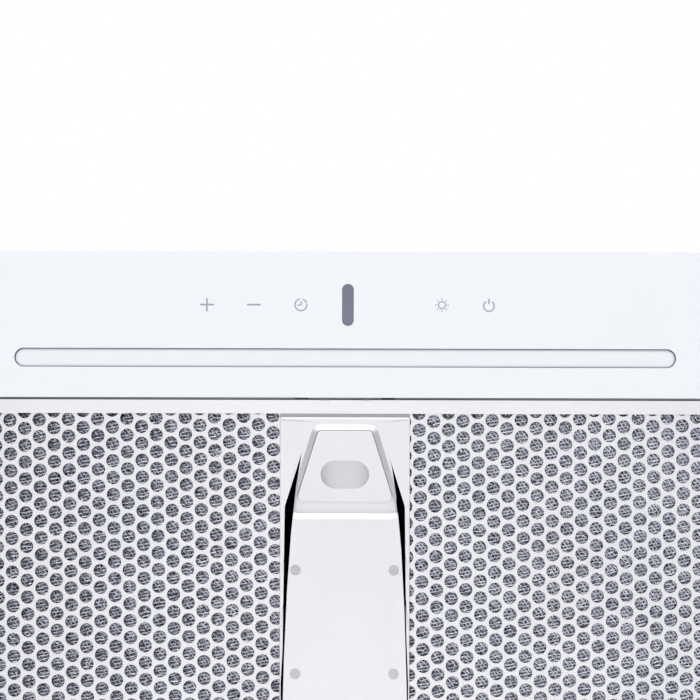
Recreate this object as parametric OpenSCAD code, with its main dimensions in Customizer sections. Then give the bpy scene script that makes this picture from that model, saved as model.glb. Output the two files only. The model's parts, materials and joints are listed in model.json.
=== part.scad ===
// Under cabinet range hood with a flush glass control strip, a light bar,
// one drop-down mesh grease filter and twin blowers lying on their sides.
// Origin: centre of the top face, which is screwed up against a wall cabinet.
// +X is to the right for someone who faces the hob, +Y points at the wall, +Z up.

/* [Body] */
// Width of the hood
hood_w = 598; // [590:1:900]
// Depth of the hood, front to wall
hood_d = 300; // [292:1:400]
// Height of the body, without the duct spigot
hood_h = 140; // [138:1:200]
// Thickness of the steel sheet
sheet_t = 1; // [0.8:0.1:1.5]
// Width of the underside's rim beside the filter
side_bar = 34; // [26:1:50]
// Width of the underside's rim behind the filter
rear_bar = 20.4; // [16:0.2:40]
// Distance between the cabinet screw holes, left to right
mount_pitch_x = 540; // [480:1:560]
// Distance between the cabinet screw holes, front to back
mount_pitch_y = 230; // [200:1:260]
// Diameter of a cabinet screw hole
mount_hole_d = 6; // [5:0.5:8]

/* [Control glass] */
// Depth of the glass strip
glass_d = 73; // [70:1:90]
// Thickness of the glass
glass_t = 4; // [3:0.5:6]
// Radius of the glass's front corners
glass_corner = 3; // [1:0.5:8]
// Distance between neighbouring touch keys
key_pitch = 23.5; // [20:0.5:28]
// Distance from the front edge to the row of keys
key_row = 26.6; // [24:0.2:28]
// Shift of the key row from the hood's middle, to the right
key_shift = 1.3; // [-4:0.1:4]
// Width of the display window
display_w = 5.8; // [4:0.2:10]
// Length of the display window
display_l = 21; // [16:1:28]
// Distance from the front edge to the middle of the light
light_row = 53.1; // [52:0.1:56]
// Length of the light's slot in the glass
light_l = 331; // [200:1:480]
// Width of the light's slot in the glass
light_w = 9.4; // [8:0.2:11]

/* [Grease filter] */
// Gap between the glass and the filter
filter_gap = 1.2; // [0.8:0.1:2]
// Visible width of the filter frame's lip
frame_lip = 6.8; // [6:0.1:10]
// Height of the filter frame
frame_h = 9.6; // [9:0.1:12]
// Thickness of the frame profile's wall
frame_t = 0.8; // [0.6:0.1:1]
// Diameter of a hole in the perforated sheet
hole_d = 6.7; // [4:0.1:7.4]
// Distance between neighbouring holes
hole_pitch = 8.45; // [8:0.05:14]
// Turn of the hole pattern against the frame
hole_turn = -1.1; // [-3:0.1:3]
// Shift of the hole pattern from the sheet's middle, to the right
hole_shift_x = 2.3; // [-4:0.1:4]
// Shift of the hole pattern from the sheet's middle, to the rear
hole_shift_y = 3; // [-4:0.1:4]
// Width of the plain plate that carries the latch
plate_w = 65.2; // [62:0.2:90]

/* [Latch] */
// Width of the paddle at its front edge
paddle_front_w = 27.3; // [24:0.1:30]
// Length of the paddle
paddle_l = 36; // [32:1:38]
// Angle of the paddle's sides
paddle_angle = 17.4; // [12:0.2:18]
// Width of the sloping surround
slope_w = 2.7; // [2:0.1:3.2]
// Depth of the sloping surround
slope_depth = 1.5; // [1:0.1:2]
// Travel of the latch
latch_travel = 5; // [4.5:0.1:5.5]
// Width of one tongue
tongue_w = 5.6; // [4:0.2:7]
// Distance of a tongue's middle from the filter's middle
tongue_x = 22; // [20:0.25:23]

/* [Blowers] */
// Diameter of an impeller
impeller_d = 160; // [140:2:164]
// Height of an impeller
impeller_h = 52; // [46:1:54]
// Blades on an impeller
blade_count = 36; // [24:1:48]
// Height of a scroll
scroll_h = 70; // [66:1:74]
// Diameter of a motor
motor_d = 80; // [70:1:90]

/* [Duct] */
// Outer diameter of the duct spigot
spigot_d = 119; // [100:1:121]
// Height of the spigot above the top face
spigot_h = 55; // [40:1:70]
// Diameter of the lead that the cable gland takes
lead_d = 8; // [6:0.5:9]

/* [Hidden] */
$fn = 48;
eps = 0.02;
play = 0.1;

// Outside of the body
half_w = hood_w / 2;
front_y = -hood_d / 2;
rear_y = hood_d / 2;
bottom_z = -hood_h;
flange = 15;

// Glass strip and what lies on it
glass_top = bottom_z + glass_t;
glass_rear = front_y + glass_d;
gasket_t = 1;
gasket_w = 8;
gasket_top = glass_top + gasket_t;
key_y = front_y + key_row;
light_y = front_y + light_row;
window_depth = 0.6;
key_places = [-3, -2, -1, 2, 3];
rail_t = 1.2;
rail_edge_gap = 0;
rail_h = 14;
rail_top = gasket_top + rail_t;

// Light bar
lens_play = 0.3;
lens_flange = 2.2;
lens_flange_t = 1.5;
lens_sink = 0.4;
crown_inset = 1;
channel_w = light_w + 7.2;
channel_h = 15;
channel_t = 1.5;
channel_l = light_l + 14;
channel_top = gasket_top + channel_h;
rail_edge = glass_rear - rail_edge_gap;
rail_front = light_y + channel_w / 2 + 0.8;
board_t = 1.5;
led_count = 24;
led_size = [3.5, 2.8, 0.8];

// Touch electronics
tray_wall = 1.6;
tray_w = 6 * key_pitch + 32;
tray_front = front_y + 5;
tray_rear = light_y - channel_w / 2 - 2;
tray_h = 13;
touch_gap = 7;
touch_board_z = glass_top + touch_gap;

// Filter opening and cassette
rim_sink = 0.4;
side_play = 1;
rear_play = 2.4;
opening_half = half_w - side_bar;
opening_rear = rear_y - rear_bar;
filter_half = opening_half - side_play;
filter_front = glass_rear + filter_gap;
filter_rear = opening_rear - rear_play;
filter_z = bottom_z + rim_sink;
filter_top = filter_z + frame_h;
sheet_z = filter_z + frame_t;
perf_t = 0.8;
grid_t = 0.8;
grid_z = filter_top - frame_t - grid_t;
foil_count = 5;
foil_t = 0.15;
frame_corner = 3;
inner_corner = frame_corner - frame_t;
inner_half = filter_half - frame_t;
inner_front = filter_front + frame_t;
inner_rear = filter_rear - frame_t;

// Hinge of the filter
hinge_r = 2;
hinge_y = filter_rear - 5;
hinge_z = filter_z + frame_h / 2;
hinge_play = 0.1;
bracket_t = 5;
pin_reach = side_play + sheet_t + bracket_t - 0.5;

// Latch, from the outside in
plate_t = 0.8;
plate_gap = 1.7;
plate_front = filter_front + frame_lip + plate_gap;
paddle_front = plate_front + 6.45;
paddle_rear = paddle_front + paddle_l;
paddle_gap = 0.35;
paddle_t = 1.4;
face_z = filter_z + slope_depth - 0.2;
flange_z = face_z + paddle_t;
flange_t = 1;
flange_side = 2.3;
flange_back = 8;
flange_rear = paddle_rear + flange_back;
pit_l = 14;
pit_w = 24;
pit_depth = 8.6;
pit_wall = 1;
pit_y = paddle_rear - 13.5;
tongue_t = 1.8;
tongue_swing_gap = 0.3;
tongue_z = rail_top + 0.2;
tongue_tip = glass_rear + tongue_swing_gap;
tongue_nose_l = 0.6;
tongue_nose_h = 1.5;
tongue_root = paddle_rear + flange_back - 8;
tongue_slot_w = tongue_w + 4;
notch_x = 10;
notch_w = 4;
notch_d = 0.5;
housing_wall = 1.2;
housing_half = plate_w / 2 - 2.2;
housing_front = plate_front + plate_t + 0.3;
housing_z = sheet_z + 0.1;
housing_top = face_z + pit_depth + pit_wall + 0.8 + housing_wall;
spring_r = 2.4;
spring_wire = 0.7;
spring_rest = latch_travel + 5.6;
spring_z = flange_z + 3.2;
spring_x = 18;
spring_turns = 7;
housing_rear = flange_rear + spring_rest + housing_wall;
latch_cut_half = housing_half + 0.4;
latch_cut_rear = housing_rear + 0.4;
tuck_half = latch_cut_half - 0.3;
tuck_l = 3;

// Blowers
scroll_wall = 1.5;
impeller_r = impeller_d / 2;
scroll_min = impeller_r + 6;
scroll_max = impeller_r + 38;
scroll_sweep = 300;
mount_gap = 8;
scroll_top = -sheet_t - mount_gap;
scroll_bottom = scroll_top - scroll_h;
inlet_r = impeller_r - 18;
inlet_lip = 8;
guard_rod_r = 1.1;
guard_pitch = 20;
guard_seat = 4;
blade_depth = 14;
blade_t = 0.8;
impeller_top = scroll_top - 9;
impeller_bottom = impeller_top - impeller_h;
hub_z = impeller_bottom + 23;
hub_disc_t = 2;
hub_r = 12;
hub_l = 12;
shaft_r = 4;
motor_r = motor_d / 2;
motor_wall = 2;
motor_flange_t = 2.5;
motor_top = scroll_top - scroll_wall;
motor_bottom = hub_z + hub_disc_t + 6;
bearing_r = 9;
bearing_h = 5;
boss_r = 12;
boss_h = 4;
mount_circle = impeller_r - 8;
mount_r = 8;

// Plenum and duct
plenum_wall = 1.5;
spigot_r = spigot_d / 2;
spigot_wall = 2;
bore_r = spigot_r - spigot_wall;
collar_flange_r = spigot_r + 9.5;
collar_flange_t = 2;
collar_gasket_t = 1;
plenum_half = collar_flange_r + 1 + plenum_wall;
duct_y = rear_y - sheet_t - 3 - plenum_wall - collar_flange_r - 1;
plenum_front = duct_y - plenum_half;
plenum_rear = duct_y + plenum_half;
blower_y = rear_y - sheet_t - 3 - scroll_wall - scroll_max;
blower_x = plenum_half + 2 + scroll_wall + scroll_radius(270);
throat_x = blower_x - plenum_half - 0.5;
throat_y = scroll_min * sin(30);
flap_pin_r = 1.5;
flap_z = 3;
flap_t = 1.2;
flap_r = bore_r - 1;
flap_drop = 2.8;
barrel_r = 3;
barrel_bore = 1.6;
barrel_l = 24;
barrel_gap = 1;
barrel_starts = [-2 * barrel_l - 1.5 * barrel_gap, barrel_gap / 2];
flap_seat_gap = 0.3;
stop_lip = 3.5;

// Power box
box_half = 60;
box_front = front_y + 7;
box_rear = plenum_front - 14;
box_h = 58;
box_wall = 2;
box_top = -sheet_t;
box_bottom = box_top - box_h;
lid_t = 2;
pcb_drop = 10;
pcb_t = 1.6;
pcb_z = box_top - box_wall - pcb_drop;
gland_x = 36;
gland_y = (box_front + box_rear) / 2 - 20;
gland_r = lead_d / 2 + 4;
gland_h = 14;

// Cables
lead_r = 2.2;
lead_z = -sheet_t - 5;

// Radius of the scroll, which shrinks as it is followed back from its outlet.
function scroll_radius(turn) = scroll_max - (scroll_max - scroll_min) * turn / scroll_sweep;

// Inner outline of the left scroll about its impeller, with the outlet on +X.
function scroll_outline(reach) = concat(
    [for (turn = [0:10:scroll_sweep])
        scroll_radius(turn) * [cos(90 + turn), sin(90 + turn)]],
    [[throat_x + reach, throat_y], [throat_x + reach, scroll_max]]);

// Points on a circle of radius r across the path's direction at point i.
function path_ring(path, i, r, sides) =
    let (last = len(path) - 1,
         ahead = path[min(i + 1, last)] - path[max(i - 1, 0)],
         t = ahead / norm(ahead),
         guide = abs(t[2]) > 0.9 ? [1, 0, 0] : [0, 0, 1],
         u = cross(guide, t) / norm(cross(guide, t)),
         v = cross(t, u))
    [for (k = [0:sides - 1])
        path[i] + r * (cos(360 * k / sides) * u + sin(360 * k / sides) * v)];

// A round cable or wire that follows a path of points.
module sweep(path, r, sides = 8) {
    n = len(path);
    points = [for (i = [0:n - 1]) each path_ring(path, i, r, sides)];
    walls = [for (i = [0:n - 2], k = [0:sides - 1])
        each [[i * sides + k, (i + 1) * sides + k, i * sides + (k + 1) % sides],
              [i * sides + (k + 1) % sides, (i + 1) * sides + k,
               (i + 1) * sides + (k + 1) % sides]]];
    start_cap = [for (k = [0:sides - 1]) k];
    end_cap = [for (k = [sides - 1:-1:0]) (n - 1) * sides + k];
    polyhedron(points, concat(walls, [start_cap, end_cap]));
}

// A point at share s of a smooth curve through four control points.
function bezier(p, s) = pow(1 - s, 3) * p[0] + 3 * pow(1 - s, 2) * s * p[1]
    + 3 * (1 - s) * s * s * p[2] + s * s * s * p[3];

module block(low, high) {
    translate(low) cube(high - low);
}

// A slot with round ends, its length along X unless tall.
module stadium(length, width, tall = false) {
    turn = tall ? 90 : 0;
    rotate(turn) {
        square([length - width, width], center = true);
        for (side = [-1, 1])
            translate([side * (length - width) / 2, 0]) circle(d = width);
    }
}

module rounded_rect(low, high, r) {
    translate([low[0] + r, low[1]]) square([high[0] - low[0] - 2 * r, high[1] - low[1]]);
    translate([low[0], low[1] + r]) square([high[0] - low[0], high[1] - low[1] - 2 * r]);
    for (x = [low[0] + r, high[0] - r], y = [low[1] + r, high[1] - r])
        translate([x, y]) circle(r);
}

// Mirrors what is drawn for the left onto the side asked for.
module on_side(side) {
    mirror([side > 0 ? 1 : 0, 0, 0]) children();
}

module at_blower() {
    translate([-blower_x, blower_y, 0]) children();
}

// A self-tapping screw that points up, with its seat at the origin.
module screw(length, shank_r = 1.5) {
    difference() {
        translate([0, 0, -2.2]) cylinder(r = 2 * shank_r, h = 2.2);
        translate([0, 0, -2.2 - eps]) cube([3.4, 0.8, 2], center = true);
        translate([0, 0, -2.2 - eps]) cube([0.8, 3.4, 2], center = true);
    }
    translate([0, 0, -eps]) cylinder(r = shank_r, h = length);
}

// --- Body -----------------------------------------------------------------

side_screw_y = [front_y + 28, 0, rear_y - 28];
end_screw_x = [-half_w + 70, half_w - 70];
collar_screw_r = spigot_r + 5;

module top_panel() color("white") difference() {
    block([-half_w, front_y, -sheet_t], [half_w, rear_y, 0]);
    translate([0, duct_y, -sheet_t - 1]) cylinder(r = spigot_r + 1, h = sheet_t + 2);
    for (x = [-1, 1], y = [-1, 1])
        translate([x * mount_pitch_x / 2, y * mount_pitch_y / 2, -sheet_t - 1])
            cylinder(d = mount_hole_d, h = sheet_t + 2);
    translate([gland_x, gland_y, -sheet_t - 1]) cylinder(r = gland_r + play, h = sheet_t + 2);
    shell_screw_places() cylinder(r = 1.5 + play, h = 8, center = true);
}

// Every place of a shell screw, each about the underside of the top panel.
module shell_screw_places() {
    for (side = [-1, 1], y = side_screw_y)
        translate([side * (half_w - sheet_t - flange / 2), y, -2 * sheet_t]) children();
    for (x = end_screw_x, y = [front_y + sheet_t + flange / 2, rear_y - sheet_t - flange / 2])
        translate([x, y, -2 * sheet_t]) children();
    for (a = [45:90:315])
        translate([0, duct_y, -sheet_t - collar_gasket_t - collar_flange_t])
            rotate(a) translate([collar_screw_r, 0, 0]) children();
}

module shell_screws() color("silver") {
    for (side = [-1, 1], y = side_screw_y)
        translate([side * (half_w - sheet_t - flange / 2), y, -2 * sheet_t])
            screw(2 * sheet_t - 0.2);
    for (x = end_screw_x, y = [front_y + sheet_t + flange / 2, rear_y - sheet_t - flange / 2])
        translate([x, y, -2 * sheet_t]) screw(2 * sheet_t - 0.2);
    for (a = [45:90:315])
        translate([0, duct_y, -sheet_t - collar_gasket_t - collar_flange_t])
            rotate(a) translate([collar_screw_r, 0, 0])
                screw(sheet_t + collar_gasket_t + collar_flange_t - 0.2);
}

// A folded edge sheet: a web with flanges turned in at its top and bottom.
module back_panel() color("white") difference() {
    union() {
        block([-half_w, rear_y - sheet_t, glass_top], [half_w, rear_y, -sheet_t]);
        block([-half_w + sheet_t, rear_y - sheet_t - flange, -2 * sheet_t],
              [half_w - sheet_t, rear_y - sheet_t + eps, -sheet_t]);
    }
    for (x = end_screw_x)
        translate([x, rear_y - sheet_t - flange / 2, -2 * sheet_t - 1])
            cylinder(r = 1.5 + play, h = sheet_t + 2);
    plenum_relief();
}

// Clears the back flange where the plenum stands.
module plenum_relief() {
    block([-plenum_half - 1, rear_y - sheet_t - flange - 1, -2 * sheet_t - 1],
          [plenum_half + 1, rear_y - sheet_t, -sheet_t + eps]);
}

module front_fascia() color("white") difference() {
    union() {
        block([-half_w, front_y, glass_top], [half_w, front_y + sheet_t, -sheet_t]);
        block([-half_w + sheet_t, front_y + sheet_t - eps, -2 * sheet_t],
              [half_w - sheet_t, front_y + sheet_t + flange, -sheet_t]);
        block([-half_w + 14, front_y + sheet_t - eps, gasket_top],
              [half_w - 14, front_y + sheet_t + 3, gasket_top + sheet_t]);
    }
    for (x = end_screw_x)
        translate([x, front_y + sheet_t + flange / 2, -2 * sheet_t - 1])
            cylinder(r = 1.5 + play, h = sheet_t + 2);
    block([-box_half - 1, box_front - 1, -2 * sheet_t - 1],
          [box_half + 1, front_y + sheet_t + flange + 1, -sheet_t + eps]);
}

module side_panel(side) color("white") on_side(side) difference() {
    union() {
        block([-half_w, front_y + sheet_t, glass_top],
              [-half_w + sheet_t, rear_y - sheet_t, -sheet_t]);
        block([-half_w + sheet_t - eps, front_y + sheet_t + flange + 1, -2 * sheet_t],
              [-half_w + sheet_t + flange, rear_y - sheet_t - flange - 1, -sheet_t]);
        block([-half_w + sheet_t - eps, front_y + sheet_t, gasket_top],
              [-half_w + sheet_t + 10, rail_front - 2,
               gasket_top + sheet_t]);
    }
    for (y = side_screw_y)
        translate([-half_w + sheet_t + flange / 2, y, -2 * sheet_t - 1])
            cylinder(r = 1.5 + play, h = sheet_t + 2);
}

// Half of the underside's rim: a plate with a joggled outer edge and an inner upstand.
module bottom_frame() color("white") {
    upstand = frame_h + 3;
    joggle = sheet_t + 0.1;
    difference() {
        union() {
            for (side = [-1, 1]) mirror([side > 0 ? 1 : 0, 0, 0]) {
                block([-half_w, filter_front, filter_z],
                      [-opening_half, rear_y, filter_z + sheet_t]);
                block([-half_w, filter_front, filter_z],
                      [-half_w + sheet_t, rear_y, glass_top - 0.1]);
                block([-half_w, filter_front, glass_top - 0.1 - sheet_t],
                      [-half_w + joggle + sheet_t, rear_y, glass_top - 0.1]);
                block([-half_w + joggle, filter_front, glass_top - sheet_t],
                      [-half_w + joggle + sheet_t, rear_y - joggle, glass_top + 10]);
                block([-opening_half - sheet_t, filter_front, filter_z],
                      [-opening_half, opening_rear + sheet_t, filter_z + upstand]);
            }
            block([-half_w, opening_rear, filter_z], [half_w, rear_y, filter_z + sheet_t]);
            block([-half_w, rear_y - sheet_t, filter_z], [half_w, rear_y, glass_top - 0.1]);
            block([-half_w, rear_y - joggle - sheet_t, glass_top - 0.1 - sheet_t],
                  [half_w, rear_y, glass_top - 0.1]);
            block([-half_w + joggle, rear_y - joggle - sheet_t, glass_top - sheet_t],
                  [half_w - joggle, rear_y - joggle, glass_top + 10]);
            block([-opening_half, opening_rear, filter_z],
                  [opening_half, opening_rear + sheet_t, filter_z + upstand]);
        }
        translate([0, hinge_y, hinge_z]) rotate([0, 90, 0])
            cylinder(r = hinge_r + 0.8, h = 2 * opening_half + 4 * sheet_t, center = true);
    }
}

// Z-shaped rail over the glass's rear edge; the latch's tongues rest on its shelf.
module cross_rail() color("silver") {
    reach = half_w - 3 * sheet_t - 1;
    block([-reach, rail_front, gasket_top], [reach, rail_edge, rail_top]);
    block([-reach, rail_front, gasket_top], [reach, rail_front + rail_t, gasket_top + rail_h]);
    for (side = [-1, 1]) mirror([side > 0 ? 1 : 0, 0, 0])
        block([-reach, rail_front, gasket_top],
              [-reach + rail_t, rail_edge - 0.5, gasket_top + rail_h]);
}

// --- Control glass and light ---------------------------------------------------

module glass_outline() {
    difference() {
        translate([-half_w, front_y]) square([hood_w, glass_d]);
        for (side = [-1, 1]) translate([side * half_w, front_y]) difference() {
            square(2 * glass_corner, center = true);
            translate([-side * glass_corner, glass_corner]) circle(glass_corner);
        }
    }
}

module control_glass() color([0.95, 0.97, 0.99]) difference() {
    translate([0, 0, bottom_z]) linear_extrude(glass_t) glass_outline();
    translate([0, light_y, bottom_z - 1]) linear_extrude(glass_t + 2) stadium(light_l, light_w);
    translate([key_shift, key_y, bottom_z - 1])
        linear_extrude(window_depth + 1) stadium(display_l, display_w, tall = true);
}

module display_window() color([0.49, 0.5, 0.56])
    translate([key_shift, key_y, bottom_z])
        linear_extrude(window_depth) stadium(display_l - play, display_w - play, tall = true);

module glass_gasket() color([0.1, 0.1, 0.11]) translate([0, 0, glass_top]) linear_extrude(gasket_t)
    difference() {
        translate([-half_w + 3, front_y + 2]) square([hood_w - 6, rail_edge - front_y - 2]);
        translate([-half_w + 3 + gasket_w, front_y + 5])
            square([hood_w - 6 - 2 * gasket_w, rail_front - front_y - 5]);
    }

module light_lens() color([0.88, 0.91, 0.96]) translate([0, light_y, 0]) {
    body = light_w - 2 * lens_play;
    long = light_l - 2 * lens_play;
    translate([0, 0, bottom_z + 2 * lens_sink])
        linear_extrude(glass_top - bottom_z - 2 * lens_sink + eps) stadium(long, body);
    translate([0, 0, bottom_z + lens_sink])
        linear_extrude(lens_sink + eps) stadium(long - 2 * crown_inset, body - 2 * crown_inset);
    translate([0, 0, glass_top])
        linear_extrude(lens_flange_t) stadium(long + 2 * lens_flange, body + 2 * lens_flange);
}

module light_channel() color("silver") translate([0, light_y, 0]) difference() {
    block([-channel_l / 2, -channel_w / 2, gasket_top], [channel_l / 2, channel_w / 2, channel_top]);
    block([-channel_l / 2 + channel_t, -channel_w / 2 + channel_t, gasket_top - 1],
          [channel_l / 2 - channel_t, channel_w / 2 - channel_t, channel_top - channel_t]);
}

module led_board() color("seagreen") translate([0, light_y, channel_top - channel_t - board_t])
    block([-light_l / 2, -light_w / 2, 0], [light_l / 2, light_w / 2, board_t - 0.05]);

module led_chips() color([1, 0.9, 0.55]) {
    step = (light_l - 16) / (led_count - 1);
    for (i = [0:led_count - 1])
        translate([(i - (led_count - 1) / 2) * step, light_y,
                   channel_top - channel_t - board_t - led_size[2] / 2])
            cube(led_size, center = true);
}

module control_tray() color([0.85, 0.85, 0.86]) difference() {
    block([-tray_w / 2, tray_front, gasket_top], [tray_w / 2, tray_rear, gasket_top + tray_h]);
    block([-tray_w / 2 + tray_wall, tray_front + tray_wall, gasket_top - 1],
          [tray_w / 2 - tray_wall, tray_rear - tray_wall, gasket_top + tray_h - tray_wall]);
    block([-8, key_y - 7, gasket_top + tray_h - 2 * tray_wall],
          [8, key_y + 7, gasket_top + tray_h + 1]);
}

module touch_board() color("seagreen") difference() {
    block([-tray_w / 2 + tray_wall + 0.5, tray_front + tray_wall + 0.5, touch_board_z],
          [tray_w / 2 - tray_wall - 0.5, tray_rear - tray_wall - 0.5, touch_board_z + pcb_t]);
    for (x = [-1, 1], y = [-1, 1])
        translate([x * (tray_w / 2 - 6), key_y + y * 11, touch_board_z - 1]) cylinder(d = 3, h = 4);
}

module touch_springs() color("gold") for (place = key_places)
    translate([key_shift + place * key_pitch, key_y, glass_top]) difference() {
        cylinder(r = 4, h = touch_gap);
        translate([0, 0, -1]) cylinder(r = 3.3, h = touch_gap + 2);
    }

module display_module() color("black") translate([key_shift, key_y, 0])
    block([-display_w / 2 - 0.8, -display_l / 2 - 1, glass_top + 0.2],
          [display_w / 2 + 0.8, display_l / 2 + 1, touch_board_z]);

// --- Power box -----------------------------------------------------------------

module power_box() color("gainsboro") difference() {
    block([-box_half, box_front, box_bottom], [box_half, box_rear, box_top]);
    block([-box_half + box_wall, box_front + box_wall, box_bottom - 1],
          [box_half - box_wall, box_rear - box_wall, box_top - box_wall]);
    translate([gland_x, gland_y, box_top - box_wall - 1]) cylinder(r = gland_r + play, h = box_wall + 2);
    for (side = [-1, 1])
        translate([side * box_half, lead_exit_y, lead_z]) rotate([0, 90, 0])
            cylinder(r = lead_r + play, h = 3 * box_wall, center = true);
}

module power_box_lid() color("gainsboro") {
    difference() {
        block([-box_half, box_front, box_bottom - lid_t], [box_half, box_rear, box_bottom]);
        block([-ribbon_w / 2 - 1, ribbon_top_y - 2, box_bottom - lid_t - 1],
              [ribbon_w / 2 + 1, ribbon_top_y + 2, box_bottom + 1]);
    }
    for (y = [box_front + box_wall + 0.3, box_rear - box_wall - 1.5])
        block([-box_half + 4, y, box_bottom - eps], [box_half - 4, y + 1.2, box_bottom + 3]);
}

module power_board() color("darkgreen") difference() {
    block([-box_half + 4, box_front + 4, pcb_z], [box_half - 4, box_rear - 4, pcb_z + pcb_t]);
    translate([gland_x, gland_y, pcb_z - 1]) cylinder(r = gland_r + 5, h = pcb_t + 2);
}

module transformer() color("goldenrod") {
    block([-48, box_front + 12, pcb_z - 24], [-14, box_front + 52, pcb_z]);
    block([-44, box_front + 16, pcb_z - 30], [-18, box_front + 48, pcb_z - 24 + eps]);
}

module run_capacitors() color("white") for (x = [-2, 20])
    translate([x, box_front + 20, pcb_z - 32]) cylinder(r = 10, h = 32);

module terminal_block() color("dimgray") difference() {
    block([-40, box_rear - 30, pcb_z - 14], [8, box_rear - 14, pcb_z]);
    for (i = [0:5]) translate([-36 + 8 * i, box_rear - 22, pcb_z - 15]) cylinder(d = 4.4, h = 10);
}

module cable_gland() color([0.15, 0.15, 0.16]) translate([gland_x, gland_y, 0]) difference() {
    union() {
        translate([0, 0, -gland_h]) cylinder(r = gland_r, h = gland_h);
        translate([0, 0, box_top - box_wall - 4]) cylinder(r = gland_r + 3, h = 4);
    }
    translate([0, 0, -gland_h - 1]) cylinder(r = lead_d / 2, h = gland_h + 2);
}

// --- Blowers -------------------------------------------------------------------

module scroll(side) color([0.82, 0.83, 0.85]) on_side(side) at_blower() difference() {
    translate([0, 0, scroll_bottom]) linear_extrude(scroll_h)
        offset(delta = scroll_wall) polygon(scroll_outline(-scroll_wall));
    translate([0, 0, scroll_bottom - 1]) linear_extrude(scroll_h - scroll_wall + 1)
        polygon(scroll_outline(10));
    blower_mount_places() cylinder(r = 2.1, h = 20, center = true);
    translate([motor_r * 0.5, -motor_r * 0.5, scroll_top]) cylinder(r = lead_r + 0.4, h = 8, center = true);
}

module blower_mount_places() {
    for (a = [45:90:315]) rotate(a) translate([mount_circle, 0, scroll_top]) children();
}

module inlet_rings() color([0.75, 0.76, 0.78]) for (side = [-1, 1]) on_side(side) at_blower() {
    z = scroll_bottom - scroll_wall;
    difference() {
        translate([0, 0, z]) linear_extrude(scroll_wall)
            offset(delta = scroll_wall) polygon(scroll_outline(-scroll_wall));
        translate([0, 0, z - 1]) cylinder(r = inlet_r, h = scroll_wall + 2);
    }
    translate([0, 0, z]) rotate_extrude() difference() {
        translate([inlet_r - eps, 0]) square([inlet_lip, inlet_lip]);
        translate([inlet_r + inlet_lip, inlet_lip]) circle(inlet_lip - scroll_wall);
        translate([inlet_r + 2.4, scroll_wall + 2]) square(inlet_lip);
    }
}

// Parallel rods under each inlet ring that keep fingers off the impeller.
module guard_rods() color("silver") for (side = [-1, 1]) on_side(side) at_blower() {
    reach = inlet_r + guard_seat;
    count = floor((inlet_r - 10) / guard_pitch);
    for (y = [-count * guard_pitch:guard_pitch:count * guard_pitch])
        translate([0, y, scroll_bottom - scroll_wall - guard_rod_r]) rotate([0, 90, 0])
            cylinder(r = guard_rod_r, h = 2 * sqrt(reach * reach - y * y), center = true);
}

module motor(side) color([0.6, 0.62, 0.65]) on_side(side) at_blower() difference() {
    union() {
        translate([0, 0, motor_top - motor_flange_t]) cylinder(r = motor_r + 6, h = motor_flange_t);
        translate([0, 0, motor_bottom]) cylinder(r = motor_r, h = motor_top - motor_bottom - eps);
        translate([0, 0, motor_bottom - boss_h]) cylinder(r = boss_r, h = boss_h + eps);
    }
    translate([0, 0, motor_bottom + motor_wall])
        cylinder(r = motor_r - motor_wall, h = motor_top - motor_bottom - motor_wall - 4);
    translate([0, 0, motor_bottom - boss_h - 1]) cylinder(r = shaft_r + 1, h = 12);
    translate([0, 0, motor_bottom - boss_h + 1]) cylinder(r = bearing_r, h = 10);
    for (a = [0:45:315]) rotate(a) translate([motor_r * 0.7, 0, motor_bottom - 1])
        linear_extrude(motor_wall + 2) stadium(9, 4);
}

module motor_stators() color([0.55, 0.35, 0.2]) for (side = [-1, 1]) on_side(side) at_blower()
    translate([0, 0, motor_bottom + motor_wall + bearing_h - 1]) difference() {
        cylinder(r = motor_r - motor_wall - play, h = stator_h);
        translate([0, 0, -1]) cylinder(r = rotor_r + 0.6, h = stator_h + 2);
    }

stator_h = motor_top - motor_bottom - motor_wall - bearing_h - 5;
rotor_r = motor_r * 0.5;

module motor_bearings() color("silver") for (side = [-1, 1]) on_side(side) at_blower()
    for (z = [motor_bottom - boss_h + 1, motor_top - 4 - bearing_h])
        translate([0, 0, z]) difference() {
            cylinder(r = bearing_r - play / 2, h = bearing_h - play);
            translate([0, 0, -1]) cylinder(r = shaft_r + play / 2, h = bearing_h + 2);
        }

module rotor(side) color([0.7, 0.7, 0.72]) on_side(side) at_blower() {
    low = motor_bottom - boss_h + 1 + bearing_h + 0.5;
    high = motor_top - 4 - bearing_h - 0.5;
    translate([0, 0, low]) cylinder(r = rotor_r, h = high - low);
    translate([0, 0, hub_z - hub_l + hub_disc_t - 6])
        cylinder(r = shaft_r, h = motor_top - 4.5 - hub_z + hub_l - hub_disc_t + 6);
}

module impeller(side) color([0.2, 0.21, 0.23]) on_side(side) at_blower() difference() {
    union() {
        translate([0, 0, impeller_bottom + 1]) linear_extrude(impeller_h - 2)
            for (i = [0:blade_count - 1]) rotate(i * 360 / blade_count) blade();
        for (z = [impeller_bottom, impeller_top - 2]) translate([0, 0, z]) difference() {
            cylinder(r = impeller_r, h = 2);
            translate([0, 0, -1]) cylinder(r = impeller_r - blade_depth - 0.5, h = 4);
        }
        translate([0, 0, hub_z]) cylinder(r = impeller_r - 0.5, h = hub_disc_t);
        translate([0, 0, hub_z - hub_l + hub_disc_t]) cylinder(r = hub_r, h = hub_l);
    }
    translate([0, 0, hub_z - 40]) cylinder(r = shaft_r + play / 2, h = 80);
}

// One forward-curved blade: an arc of sheet between the cage's two radii.
module blade() {
    steps = 5;
    outer = [for (i = [0:steps]) blade_point(i / steps, 0)];
    inner = [for (i = [steps:-1:0]) blade_point(i / steps, blade_t)];
    polygon(concat(outer, inner));
}

function blade_point(s, t) =
    let (r = impeller_r - 0.6 - (blade_depth - 1) * s, bend = 5.5 * (1 - s) * (1 - s))
    [r, t - bend];

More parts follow.
